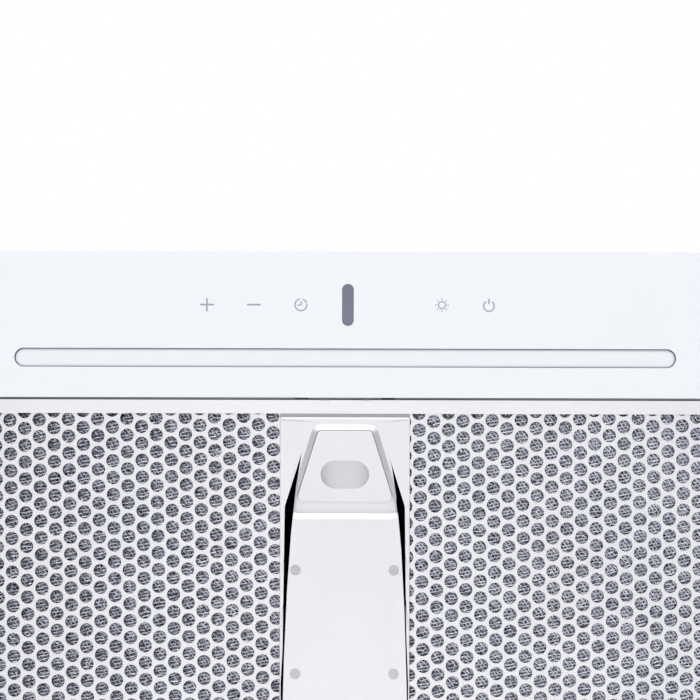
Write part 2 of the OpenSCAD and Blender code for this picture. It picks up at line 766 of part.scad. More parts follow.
module impeller_nut(side) color("silver") on_side(side) at_blower()
    translate([0, 0, hub_z - hub_l + hub_disc_t - 5]) difference() {
        cylinder(r = 7, h = 5 - play, $fn = 6);
        translate([0, 0, -1]) cylinder(r = shaft_r + play / 2, h = 8);
    }

module rubber_mounts() color([0.12, 0.12, 0.12]) for (side = [-1, 1]) on_side(side) at_blower()
    blower_mount_places() difference() {
        cylinder(r = mount_r, h = mount_gap);
        translate([0, 0, mount_gap / 2]) rotate_extrude() translate([mount_r + 1.5, 0]) circle(3);
        translate([0, 0, -1]) cylinder(r = 2.1, h = mount_gap - 1);
    }

module blower_screws() color("silver") for (side = [-1, 1]) on_side(side) at_blower()
    blower_mount_places() translate([0, 0, -scroll_wall]) screw(scroll_wall + mount_gap - 2.5, 2);

// --- Plenum and duct -------------------------------------------------------------

module plenum_box() color([0.78, 0.79, 0.81]) difference() {
    block([-plenum_half, plenum_front, scroll_bottom - scroll_wall],
          [plenum_half, plenum_rear, -sheet_t]);
    block([-plenum_half + plenum_wall, plenum_front + plenum_wall, scroll_bottom],
          [plenum_half - plenum_wall, plenum_rear - plenum_wall, 1]);
    block([-plenum_half - 1, blower_y + throat_y, scroll_bottom],
          [plenum_half + 1, min(blower_y + scroll_max, plenum_rear - plenum_wall),
           scroll_top - scroll_wall]);
}

module duct_collar() color([0.18, 0.18, 0.19]) translate([0, duct_y, 0]) difference() {
    flange_top = -sheet_t - collar_gasket_t;
    union() {
        translate([0, 0, flange_top - collar_flange_t])
            cylinder(r = collar_flange_r, h = collar_flange_t);
        translate([0, 0, flange_top - collar_flange_t])
            cylinder(r = spigot_r, h = spigot_h - flange_top + collar_flange_t, $fn = 96);
    }
    translate([0, 0, -20]) cylinder(r = bore_r - stop_lip, h = spigot_h + 40, $fn = 96);
    translate([0, 0, flap_z - flap_drop - flap_seat_gap])
        cylinder(r = bore_r, h = spigot_h + 1, $fn = 96);
    translate([0, 0, flange_top - collar_flange_t - 1])
        cylinder(r = bore_r, h = flap_z - flap_drop - 1.8 - flange_top + collar_flange_t + 1, $fn = 96);
    translate([0, 0, flap_z]) rotate([0, 90, 0])
        cylinder(r = flap_pin_r + play, h = 2 * spigot_r + 2, center = true);
    for (a = [45:90:315]) rotate(a) translate([collar_screw_r, 0, -20]) cylinder(r = 1.5 + play, h = 22);
}

module collar_gasket() color([0.3, 0.3, 0.32])
    translate([0, duct_y, -sheet_t - collar_gasket_t]) difference() {
        cylinder(r = collar_flange_r, h = collar_gasket_t);
        translate([0, 0, -1]) cylinder(r = spigot_r + 1, h = collar_gasket_t + 2);
        for (a = [45:90:315]) rotate(a) translate([collar_screw_r, 0, -1]) cylinder(r = 1.5 + play, h = 4);
    }

// A half-round flap on the positive Y side of the pin, with two of the four barrels.
module flap_blade(barrels) {
    plate_z = flap_z - flap_drop;
    difference() {
        translate([0, 0, plate_z]) cylinder(r = flap_r, h = flap_t, $fn = 72);
        block([-flap_r - 1, -flap_r - 1, plate_z - 1], [flap_r + 1, barrel_r + 0.6, flap_z + 9]);
    }
    for (x = barrels) difference() {
        union() {
            translate([x, 0, flap_z]) rotate([0, 90, 0]) cylinder(r = barrel_r, h = barrel_l);
            block([x, 0.2, plate_z], [x + barrel_l, barrel_r + 1, plate_z + flap_t]);
        }
        translate([x - 1, 0, flap_z]) rotate([0, 90, 0]) cylinder(r = barrel_bore, h = barrel_l + 2);
    }
}

module flap_rear() color([0.25, 0.25, 0.27]) translate([0, duct_y, 0])
    flap_blade(barrel_starts);

module flap_front() color([0.25, 0.25, 0.27]) translate([0, duct_y, 0])
    rotate(180) flap_blade(barrel_starts);

module flap_pin() color("silver") translate([0, duct_y, flap_z]) rotate([0, 90, 0])
    cylinder(r = flap_pin_r, h = 2 * spigot_r - 1, center = true);

// --- Grease filter ---------------------------------------------------------------

module frame_ring(grow) {
    difference() {
        rounded_rect([-filter_half, filter_front], [filter_half, filter_rear], frame_corner);
        rounded_rect([-filter_half + grow, filter_front + grow],
                     [filter_half - grow, filter_rear - grow], inner_corner);
    }
}

module filter_frame() color("silver") difference() {
    union() {
        translate([0, 0, filter_z]) linear_extrude(frame_h) frame_ring(frame_t);
        for (z = [filter_z, filter_top - frame_t])
            translate([0, 0, z]) linear_extrude(frame_t) frame_ring(frame_lip);
        for (side = [-1, 1]) mirror([side > 0 ? 1 : 0, 0, 0])
            translate([-filter_half + frame_t / 2, hinge_y, hinge_z]) rotate([0, -90, 0])
                cylinder(r = hinge_r, h = pin_reach + frame_t / 2);
    }
    for (side = [-1, 1]) {
        block([side * tongue_x - tongue_slot_w / 2, filter_front - 1,
               tongue_z - tongue_nose_h - 0.4],
              [side * tongue_x + tongue_slot_w / 2, filter_front + frame_t + 1,
               tongue_z + tongue_t + 0.4]);
        block([side * notch_x - notch_w / 2, filter_front - 1, filter_z - 1],
              [side * notch_x + notch_w / 2, filter_front + notch_d, filter_z + 3 * frame_t]);
    }
    block([-latch_cut_half, inner_front, filter_top - 2 * frame_t],
          [latch_cut_half, filter_front + frame_lip + 1, filter_top + 1]);
}

module latch_cut(z, h) {
    block([-latch_cut_half, inner_front - 1, z], [latch_cut_half, latch_cut_rear, z + h]);
}

// Outline of a sheet that lies inside the frame.
module inside_frame(gap) {
    rounded_rect([-inner_half + gap, inner_front + gap], [inner_half - gap, inner_rear - gap],
                 inner_corner - gap);
}

module perforated_sheet() color([0.93, 0.93, 0.95]) {
    rows = ceil((inner_rear - inner_front) / hole_pitch / 2) + 1;
    cols = ceil(inner_half / hole_pitch / cos(30)) + 1;
    start = [hole_shift_x, (inner_front + inner_rear) / 2 + hole_shift_y];
    margin = frame_lip - frame_t - hole_d / 2;
    translate([0, 0, sheet_z]) linear_extrude(perf_t) difference() {
        inside_frame(play);
        translate([-latch_cut_half, inner_front - 1])
            square([2 * latch_cut_half, latch_cut_rear - inner_front + 1]);
        for (i = [-cols:cols], j = [-rows:rows]) {
            at = hole_at(i, j, start);
            open = abs(at[0]) < inner_half - margin && at[1] > inner_front + margin
                && at[1] < inner_rear - margin;
            hidden = abs(at[0]) < plate_w / 2 - hole_d / 2;
            if (open && !hidden) translate(at) circle(d = hole_d, $fn = 24);
        }
    }
}

// Middle of the hole in column i and row j; every other column is half a pitch up.
function hole_at(i, j, start) =
    let (x = i * hole_pitch * cos(30), y = (j + (i % 2 == 0 ? 0 : 0.5)) * hole_pitch)
    start + [x * cos(hole_turn) - y * sin(hole_turn), x * sin(hole_turn) + y * cos(hole_turn)];

module mesh_pack() color([0.55, 0.56, 0.6]) {
    low = sheet_z + perf_t + 0.2;
    step = (grid_z - 0.2 - foil_t - low) / (foil_count - 1);
    for (i = [0:foil_count - 1]) difference() {
        translate([0, 0, low + i * step]) linear_extrude(foil_t) inside_frame(0.5);
        latch_cut(filter_z, frame_h);
    }
}

module back_grid() color("silver") {
    bar = 3;
    cell = 24;
    half = inner_half - frame_lip + frame_t;
    long = inner_rear - inner_front - 2 * (frame_lip - frame_t);
    across = floor(half / (cell + bar));
    along = floor(long / (cell + bar));
    pitch_x = half / across;
    pitch_y = long / along;
    difference() {
        translate([0, 0, grid_z]) linear_extrude(grid_t - 0.05) inside_frame(play);
        latch_cut(grid_z - 1, grid_t + 2);
        for (i = [-across:across - 1], j = [0:along - 1])
            if (abs((i + 0.5) * pitch_x) - pitch_x / 2 > latch_cut_half + 1
                || inner_front + frame_lip + j * pitch_y > latch_cut_rear + 1)
                translate([i * pitch_x + bar / 2,
                           inner_front + frame_lip - frame_t + j * pitch_y + bar / 2, grid_z - 1])
                    cube([pitch_x - bar, pitch_y - bar, grid_t + 2]);
    }
}

// --- Latch -------------------------------------------------------------------------

// Outline of the paddle, grown by a margin all round and with rounded corners.
module paddle_outline(grow, extra = 0) {
    corner = 2.6;
    spread = tan(paddle_angle);
    front = paddle_front_w / 2;
    rear = front + paddle_l * spread;
    reach = extra * spread;
    offset(r = corner + grow) offset(delta = -corner)
        polygon([[-front, paddle_front], [front, paddle_front],
                 [rear + reach, paddle_rear + extra], [-rear - reach, paddle_rear + extra]]);
}

module thin_paddle(z, grow) {
    translate([0, 0, z]) linear_extrude(eps) paddle_outline(grow, latch_travel + 1, $fn = 32);
}

module latch_plate() color([0.93, 0.93, 0.95]) {
    low = filter_z;
    high = filter_z + slope_depth;
    difference() {
        union() {
            block([-plate_w / 2, plate_front, low],
                  [plate_w / 2, filter_rear - frame_lip - 0.5, low + plate_t - eps]);
            block([-tuck_half, plate_front, low],
                  [tuck_half, plate_front + plate_t, sheet_z + plate_t]);
            block([-tuck_half, plate_front - plate_gap - tuck_l, sheet_z + play / 2],
                  [tuck_half, plate_front + eps, sheet_z + plate_t]);
        }
        translate([0, 0, low - 1]) linear_extrude(plate_t + 2)
            paddle_outline(slope_w + plate_t / 2, latch_travel + 1, $fn = 32);
        for (y = rivet_rows, side = [-1, 1])
            translate([side * rivet_x, y, low - 1]) cylinder(r = rivet_r + play, h = plate_t + 2);
    }
    difference() {
        hull() {
            thin_paddle(low, slope_w + plate_t);
            thin_paddle(high - eps, plate_t);
        }
        hull() {
            thin_paddle(low - eps, slope_w);
            thin_paddle(high, 0);
        }
    }
}

rivet_x = plate_w / 2 - 8;
rivet_r = 1.6;
rivet_rows = [latch_cut_rear + 14, (latch_cut_rear + filter_rear) / 2, filter_rear - frame_lip - 12];

module plate_rivets() color("silver") for (y = rivet_rows, side = [-1, 1])
    translate([side * rivet_x, y, filter_z]) {
        translate([0, 0, -0.35]) cylinder(r = 2.6, h = 0.35);
        translate([0, 0, -eps]) cylinder(r = rivet_r, h = plate_t - play);
    }

module latch_paddle() color([0.92, 0.92, 0.94]) {
    difference() {
        union() {
            translate([0, 0, face_z]) linear_extrude(paddle_t + eps)
                paddle_outline(-paddle_gap, $fn = 32);
            translate([0, 0, flange_z]) linear_extrude(flange_t)
                paddle_outline(flange_side, flange_back - flange_side, $fn = 32);
            translate([0, pit_y, face_z]) linear_extrude(pit_depth + pit_wall)
                stadium(pit_w + 2 * pit_wall, pit_l + 2 * pit_wall);
        }
        translate([0, pit_y, face_z - 1]) linear_extrude(pit_depth + 1) stadium(pit_w, pit_l);
    }
    for (side = [-1, 1]) {
        block([side * tongue_x - tongue_w / 2, housing_front + 2, flange_z],
              [side * tongue_x + tongue_w / 2, tongue_root, flange_z + 2 * flange_t]);
        block([side * tongue_x - tongue_w / 2, housing_front + 2, flange_z],
              [side * tongue_x + tongue_w / 2, housing_front + 2 + tongue_t, tongue_z + tongue_t]);
        block([side * tongue_x - tongue_w / 2, tongue_tip, tongue_z],
              [side * tongue_x + tongue_w / 2, housing_front + 2 + tongue_t, tongue_z + tongue_t]);
        block([side * tongue_x - tongue_w / 2, tongue_tip, tongue_z - tongue_nose_h],
              [side * tongue_x + tongue_w / 2, tongue_tip + tongue_nose_l, tongue_z + eps]);
        block([side * spring_x - 4, flange_rear - 2.2, flange_z],
              [side * spring_x + 4, flange_rear, spring_z + spring_r + 0.6]);
    }
}

module latch_housing() color([0.3, 0.31, 0.33]) difference() {
    block([-housing_half, housing_front, housing_z], [housing_half, housing_rear, housing_top]);
    block([-housing_half + housing_wall, housing_front + housing_wall, housing_z - 1],
          [housing_half - housing_wall, housing_rear - housing_wall, housing_top - housing_wall]);
    for (side = [-1, 1])
        block([side * tongue_x - tongue_w / 2 - 0.5, housing_front - 1, housing_z - 1],
              [side * tongue_x + tongue_w / 2 + 0.5, housing_front + housing_wall + 1,
               tongue_z + tongue_t + 0.5]);
}

module latch_springs() color("gray") for (side = [-1, 1]) {
    steps = 12 * spring_turns;
    start = flange_rear + spring_wire / 2 + 0.05;
    run = housing_rear - housing_wall - flange_rear - spring_wire - 0.1;
    sweep([for (i = [0:steps])
        let (a = 360 * spring_turns * i / steps)
        [side * spring_x + (spring_r - spring_wire / 2) * cos(a), start + run * i / steps,
         spring_z + (spring_r - spring_wire / 2) * sin(a)]], spring_wire / 2, 6);
}

module hinge_brackets() color("silver") for (side = [-1, 1]) mirror([side > 0 ? 1 : 0, 0, 0])
    difference() {
        block([-opening_half - sheet_t - bracket_t, hinge_y - 6, filter_z + sheet_t],
              [-opening_half - sheet_t, hinge_y + 6, hinge_z + 6]);
        translate([-opening_half - sheet_t - bracket_t - 1, hinge_y, hinge_z]) rotate([0, 90, 0])
            cylinder(r = hinge_r + hinge_play, h = bracket_t + 2);
    }

// --- Cables ------------------------------------------------------------------------

lead_exit_y = box_rear - 30;
ribbon_w = 14;
ribbon_t = 1.2;
ribbon_top_y = box_front + 18;

module motor_leads() color([0.85, 0.85, 0.87]) for (side = [-1, 1]) on_side(side) {
    lead_end = [-blower_x + motor_r * 0.5, blower_y - motor_r * 0.5];
    exit = [-box_half + box_wall, lead_exit_y, lead_z];
    bend = [lead_end[0], lead_end[1], lead_z];
    flat = [for (i = [0:14]) bezier([exit, exit + [-60, 0, 0], bend + [0, -50, 0], bend], i / 14)];
    sweep(flat, lead_r);
    translate([bend[0], bend[1], motor_top]) cylinder(r = lead_r, h = lead_z - motor_top + 1);
}

// A flat cable that hangs in a shallow S from the power box to the touch board.
module ribbon_cable() color([0.8, 0.8, 0.84]) {
    top = box_bottom + 4;
    low = touch_board_z + pcb_t;
    line = [for (i = [0:12]) bezier([[ribbon_top_y, top], [ribbon_top_y, top - 24],
        [key_y, low + 30], [key_y, low]], i / 12)];
    band = concat([for (p = line) [p[0] - ribbon_t / 2, p[1]]],
        [for (i = [len(line) - 1:-1:0]) [line[i][0] + ribbon_t / 2, line[i][1]]]);
    translate([-ribbon_w / 2, 0, 0]) rotate([90, 0, 90]) linear_extrude(ribbon_w) polygon(band);
}

top_panel();
back_panel();
side_panel(-1);  // side_panel_left
side_panel(1);  // side_panel_right
front_fascia();
bottom_frame();
cross_rail();
control_glass();
glass_gasket();
display_window();
light_lens();
light_channel();
led_board();
led_chips();
touch_board();
touch_springs();
display_module();
control_tray();
power_box();
power_box_lid();
power_board();
transformer();
run_capacitors();
terminal_block();
cable_gland();
scroll(-1);  // scroll_left
scroll(1);  // scroll_right
inlet_rings();
guard_rods();
motor(-1);  // motor_left
motor(1);  // motor_right
motor_stators();
motor_bearings();
rotor(-1);  // rotor_left
rotor(1);  // rotor_right
impeller(-1);  // impeller_left
impeller(1);  // impeller_right
impeller_nut(-1);  // impeller_nut_left
impeller_nut(1);  // impeller_nut_right
rubber_mounts();
blower_screws();
plenum_box();
duct_collar();
collar_gasket();
flap_front();
flap_rear();
flap_pin();
filter_frame();
perforated_sheet();
mesh_pack();
back_grid();
latch_plate();
latch_paddle();
latch_housing();
latch_springs();
plate_rivets();
hinge_brackets();
shell_screws();
motor_leads();
ribbon_cable();
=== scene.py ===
"""Surfaces and finishes of an under cabinet range hood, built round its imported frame.

Every length below is in metres unless its name ends in _mm. +X is to the right for someone who faces
the hob, +Y points at the wall and +Z up, as in the frame.
"""
import json
import math

import bmesh
import bpy
import numpy as np
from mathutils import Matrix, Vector
from bpy.props import FloatProperty, FloatVectorProperty, IntProperty, PointerProperty

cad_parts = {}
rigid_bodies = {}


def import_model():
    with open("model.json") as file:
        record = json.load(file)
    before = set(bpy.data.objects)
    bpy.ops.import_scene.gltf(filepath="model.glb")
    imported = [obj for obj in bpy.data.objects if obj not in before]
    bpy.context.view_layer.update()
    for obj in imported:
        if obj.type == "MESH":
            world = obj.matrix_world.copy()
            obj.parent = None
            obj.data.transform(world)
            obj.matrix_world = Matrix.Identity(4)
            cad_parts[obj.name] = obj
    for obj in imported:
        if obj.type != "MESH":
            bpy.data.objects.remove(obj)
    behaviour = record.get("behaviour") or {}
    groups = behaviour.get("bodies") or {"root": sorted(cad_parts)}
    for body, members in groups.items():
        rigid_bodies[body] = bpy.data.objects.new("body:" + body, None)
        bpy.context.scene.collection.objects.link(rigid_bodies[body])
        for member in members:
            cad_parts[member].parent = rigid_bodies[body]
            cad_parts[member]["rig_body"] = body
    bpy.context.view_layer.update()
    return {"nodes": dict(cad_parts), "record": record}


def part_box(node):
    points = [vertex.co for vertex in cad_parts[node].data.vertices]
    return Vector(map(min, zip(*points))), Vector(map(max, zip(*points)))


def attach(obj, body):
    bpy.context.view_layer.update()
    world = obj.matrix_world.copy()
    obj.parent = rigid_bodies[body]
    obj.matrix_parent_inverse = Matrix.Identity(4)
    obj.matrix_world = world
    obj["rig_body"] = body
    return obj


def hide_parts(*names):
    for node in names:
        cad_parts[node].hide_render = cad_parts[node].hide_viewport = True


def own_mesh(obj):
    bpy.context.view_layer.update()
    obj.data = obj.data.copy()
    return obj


bl_info = {
    "name": "Under Cabinet Range Hood",
    "version": (1, 0, 0),
    "blender": (4, 5, 0),
    "location": "View3D > Sidebar > Range Hood",
    "description": "Finishes and fine pieces of a range hood with a glass touch strip",
    "category": "Object",
}

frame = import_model()
MM = 0.001
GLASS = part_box("control_glass")
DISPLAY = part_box("display_window")
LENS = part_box("light_lens")
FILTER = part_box("perforated_sheet")
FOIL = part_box("mesh_pack")
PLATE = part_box("latch_plate")
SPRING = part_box("latch_springs")
UNDERSIDE = GLASS[0].z


# --- Sizes and colours -----------------------------------------------------------------------

class HoodSizes(bpy.types.PropertyGroup):
    """Sizes of the pieces that are added to the frame."""
    key_pitch: FloatProperty(name="Key pitch", description="Between neighbouring touch keys",
                             default=23.5 * MM, unit="LENGTH", precision=4)
    ink_stroke: FloatProperty(name="Ink stroke", description="Width of a printed symbol's line",
                              default=0.86 * MM, unit="LENGTH", precision=5)
    symbol_size: FloatProperty(name="Symbol size", description="Across a printed symbol",
                               default=6.75 * MM, unit="LENGTH", precision=4)
    lens_crown: FloatProperty(name="Lens crown", description="Height of the lens's curved face",
                              default=0.5 * MM, unit="LENGTH", precision=5)
    foil_cell_x: FloatProperty(name="Foil cell length", description="Long way of a stretched cell",
                               default=3.1 * MM, unit="LENGTH", precision=4)
    foil_cell_y: FloatProperty(name="Foil cell width", description="Short way of a stretched cell",
                               default=2.0 * MM, unit="LENGTH", precision=4)
    foil_strand: FloatProperty(name="Foil strand", description="Width of a foil strand",
                               default=0.5 * MM, unit="LENGTH", precision=5)
    foil_layers: IntProperty(name="Foil layers", description="Layers of stretched foil",
                             default=4, min=2, max=6)
    paddle_front: FloatProperty(name="Paddle front", description="Width of the paddle's front edge",
                                default=27.3 * MM, unit="LENGTH", precision=4)
    paddle_length: FloatProperty(name="Paddle length", description="Front to rear",
                                 default=36.0 * MM, unit="LENGTH", precision=4)
    paddle_angle: FloatProperty(name="Paddle angle", description="Splay of the paddle's sides",
                                default=math.radians(17.4), subtype="ANGLE")
    paddle_corner: FloatProperty(name="Paddle corner", description="Radius of the opening's corners",
                                 default=2.6 * MM, unit="LENGTH", precision=5)
    paddle_inset: FloatProperty(name="Paddle inset", description="From the plate's front to the paddle",
                                default=6.45 * MM, unit="LENGTH", precision=5)
    latch_travel: FloatProperty(name="Latch travel", description="How far the paddle slides back",
                                default=5 * MM, unit="LENGTH", precision=4)
    slope_width: FloatProperty(name="Slope width", description="Width of the pressed surround",
                               default=2.7 * MM, unit="LENGTH", precision=5)
    slope_depth: FloatProperty(name="Slope depth", description="Depth of the pressed surround",
                               default=1.5 * MM, unit="LENGTH", precision=5)
    plate_tuck: FloatProperty(name="Plate tuck", description="Tongue in front of the latch plate",
                              default=4.7 * MM, unit="LENGTH", precision=5)
    plate_round: FloatProperty(name="Plate round", description="Rounding of the plate's front edge",
                               default=1.3 * MM, unit="LENGTH", precision=5)
    spring_wire: FloatProperty(name="Spring wire", description="Wire of the latch springs",
                               default=0.7 * MM, unit="LENGTH", precision=5)


class HoodColours(bpy.types.PropertyGroup):
    """Colours that a user would change, as sRGB values."""
    glass: FloatVectorProperty(name="Glass", description="Print behind the glass", size=3,
                               subtype="COLOR_GAMMA", default=(0.953, 0.965, 0.984), min=0, max=1)
    ink: FloatVectorProperty(name="Ink", description="Symbols on the glass", size=3,
                             subtype="COLOR_GAMMA", default=(0.68, 0.695, 0.755), min=0, max=1)
    coat: FloatVectorProperty(name="Coat", description="Powder coat of the body", size=3,
                              subtype="COLOR_GAMMA", default=(0.945, 0.947, 0.955), min=0, max=1)


# --- Materials -------------------------------------------------------------------------------

def linear(colour):
    """Linear colour with alpha from an sRGB hex string, or from three sRGB numbers."""
    if isinstance(colour, str):
        colour = [int(colour[i:i + 2], 16) / 255 for i in (0, 2, 4)]
    srgb = np.array(colour[:3], float)
    light = np.where(srgb <= 0.04045, srgb / 12.92, ((srgb + 0.055) / 1.055) ** 2.4)
    return (*light, 1.0)


def add_node(tree, kind, inputs=None, **settings):
    """Adds a node, sets its settings, and fills its inputs with values or other nodes' outputs."""
    node = tree.nodes.new(kind)
    for key, value in settings.items():
        setattr(node, key, value)
    for key, value in (inputs or {}).items():
        if isinstance(value, bpy.types.NodeSocket):
            tree.links.new(value, node.inputs[key])
        else:
            node.inputs[key].default_value = value
    return node


def start_material(name, uniform):
    """A new material, its tree, its shader with its uniform numbers set, and its place output."""
    material = bpy.data.materials.new(name)
    material.use_nodes = True
    tree = material.node_tree
    shader = tree.nodes["Principled BSDF"]
    for socket, value in uniform.items():
        shader.inputs[socket.replace("_", " ")].default_value = value
    return material, tree, shader, add_node(tree, "ShaderNodeTexCoord").outputs["Object"]


def grained(name, light, dark, grain_mm, depth_mm, roughness, along=(1, 1, 1), cloud_mm=55,
            **uniform):
    """A finish with a fine grain and slow clouds. The colour goes from dark to light and the
    roughness between its two values by half grain, half cloud; the grain alone raises the surface."""
    material, tree, shader, place = start_material(name, uniform)
    fine = add_node(tree, "ShaderNodeMapping",
                    {"Vector": place, "Scale": [1 / (grain_mm * MM * a) for a in along]})
    grain = add_node(tree, "ShaderNodeTexNoise",
                     {"Vector": fine.outputs["Vector"], "Scale": 1.0, "Detail": 3.0,
                      "Roughness": 0.6})
    cloud = add_node(tree, "ShaderNodeTexNoise",
                     {"Vector": place, "Scale": 1 / (cloud_mm * MM), "Detail": 4.0})
    both = add_node(tree, "ShaderNodeMath",
                    {0: grain.outputs["Fac"], 1: cloud.outputs["Fac"]}, operation="ADD")
    share = add_node(tree, "ShaderNodeMapRange",
                     {"Value": both.outputs[0], "From Min": 0.7, "From Max": 1.3})
    tint = add_node(tree, "ShaderNodeMix",
                    {0: share.outputs["Result"], 6: linear(dark), 7: linear(light)},
                    data_type="RGBA")
    gloss = add_node(tree, "ShaderNodeMapRange",
                     {"Value": share.outputs["Result"], "To Min": roughness[0],
                      "To Max": roughness[1]})
    bump = add_node(tree, "ShaderNodeBump",
                    {"Height": grain.outputs["Fac"], "Distance": depth_mm * MM, "Strength": 1.0})
    tree.links.new(tint.outputs[2], shader.inputs["Base Color"])
    tree.links.new(gloss.outputs["Result"], shader.inputs["Roughness"])
    tree.links.new(bump.outputs["Normal"], shader.inputs["Normal"])
    return material


def edge_tinted(material, low, high, colour, near=None):
    """Turns a finish to another colour between two heights: the glass's own ground edge, and painted
    shade on the aluminium's edges and in the recess before the latch plate. Near is a place in Y, a
    reach on each side of it and the colour that the edge has there instead."""
    tree = material.node_tree
    base = tree.nodes["Principled BSDF"].inputs["Base Color"]
    place = add_node(tree, "ShaderNodeTexCoord").outputs["Object"]
    split = add_node(tree, "ShaderNodeSeparateXYZ", {"Vector": place})
    rise = add_node(tree, "ShaderNodeMapRange", {"Value": split.outputs["Z"], "From Min": low,
                                                 "From Max": low + 0.12 * MM})
    below = add_node(tree, "ShaderNodeMath", {0: split.outputs["Z"], 1: high},
                     operation="LESS_THAN")
    share = add_node(tree, "ShaderNodeMath", {0: rise.outputs["Result"], 1: below.outputs[0]},
                     operation="MULTIPLY")
    edge = linear(colour)
    if near:
        close = add_node(tree, "ShaderNodeMath", {0: split.outputs["Y"], 1: near[0], 2: near[1]},
                         operation="COMPARE")
        edge = add_node(tree, "ShaderNodeMix", {0: close.outputs[0], 6: edge, 7: linear(near[2])},
                        data_type="RGBA").outputs[2]
    tint = add_node(tree, "ShaderNodeMix", {0: share.outputs[0], 6: base.links[0].from_socket,
                                            7: edge}, data_type="RGBA")
    tree.links.new(tint.outputs[2], base)
    return material


def galvanised_sheet():
    """Hot-dip galvanised steel: zinc crystals of about 7 mm, each with its own grey and gloss."""
    material, tree, shader, place = start_material("galvanised_sheet", {"Metallic": 1.0})
    spangle = add_node(tree, "ShaderNodeTexVoronoi", {"Vector": place, "Scale": 1 / (7 * MM),
                                                      "Randomness": 1.0})
    level = add_node(tree, "ShaderNodeSeparateColor", {"Color": spangle.outputs["Color"]})
    frost = add_node(tree, "ShaderNodeTexNoise", {"Vector": place, "Scale": 1 / (0.6 * MM),
                                                  "Detail": 3.0})
    tint = add_node(tree, "ShaderNodeMix", {0: level.outputs[0], 6: linear("9DA1A7"),
                                            7: linear("C6C9CE")}, data_type="RGBA")
    gloss = add_node(tree, "ShaderNodeMapRange", {"Value": level.outputs[1], "To Min": 0.34,
                                                  "To Max": 0.52})
    bump = add_node(tree, "ShaderNodeBump", {"Height": frost.outputs["Fac"],
                                             "Distance": 0.012 * MM, "Strength": 1.0})
    tree.links.new(tint.outputs[2], shader.inputs["Base Color"])
    tree.links.new(gloss.outputs["Result"], shader.inputs["Roughness"])
    tree.links.new(bump.outputs["Normal"], shader.inputs["Normal"])
    return material


def solder_mask(name, mask, trace):
    """Printed circuit board: a glossy mask over copper tracks 0.5 mm wide on a 2.5 mm grid."""
    material, tree, shader, place = start_material(name, {"IOR": 1.5, "Coat_Weight": 0.4,
                                                          "Coat_Roughness": 0.15})
    tracks = add_node(tree, "ShaderNodeTexBrick",
                      {"Vector": place, "Scale": 1.0, "Color1": linear(mask),
                       "Color2": linear(mask), "Mortar": linear(trace), "Mortar Size": 0.25 * MM,
                       "Brick Width": 9 * MM, "Row Height": 2.5 * MM, "Mortar Smooth": 0.1})
    bump = add_node(tree, "ShaderNodeBump", {"Height": tracks.outputs["Fac"],
                                             "Distance": 0.03 * MM, "Strength": 1.0})
    speck = add_node(tree, "ShaderNodeTexNoise", {"Vector": place, "Scale": 1 / (1.5 * MM)})
    gloss = add_node(tree, "ShaderNodeMapRange", {"Value": speck.outputs["Fac"], "To Min": 0.25,
                                                  "To Max": 0.4})
    tree.links.new(tracks.outputs["Color"], shader.inputs["Base Color"])
    tree.links.new(gloss.outputs["Result"], shader.inputs["Roughness"])
    tree.links.new(bump.outputs["Normal"], shader.inputs["Normal"])
    return material


def enamelled_winding():
    """Enamelled copper wire, wound: bands about 2.2 mm apart, coarser than the wire so that they
    show."""
    material, tree, shader, place = start_material("enamelled_copper_winding", {"Metallic": 0.8})
    turns = add_node(tree, "ShaderNodeTexWave", {"Vector": place, "Scale": 0.5 / (1.1 * MM) / math.pi,
                                                 "Distortion": 0.6, "Detail": 2.0},
                     bands_direction="Z")
    tint = add_node(tree, "ShaderNodeMix", {0: turns.outputs["Fac"], 6: linear("5A2A14"),
                                            7: linear("B4622F")}, data_type="RGBA")
    gloss = add_node(tree, "ShaderNodeMapRange", {"Value": turns.outputs["Fac"], "To Min": 0.5,
                                                  "To Max": 0.25})
    bump = add_node(tree, "ShaderNodeBump", {"Height": turns.outputs["Fac"],
                                             "Distance": 0.3 * MM, "Strength": 1.0})
    tree.links.new(tint.outputs[2], shader.inputs["Base Color"])
    tree.links.new(gloss.outputs["Result"], shader.inputs["Roughness"])
    tree.links.new(bump.outputs["Normal"], shader.inputs["Normal"])
    return material


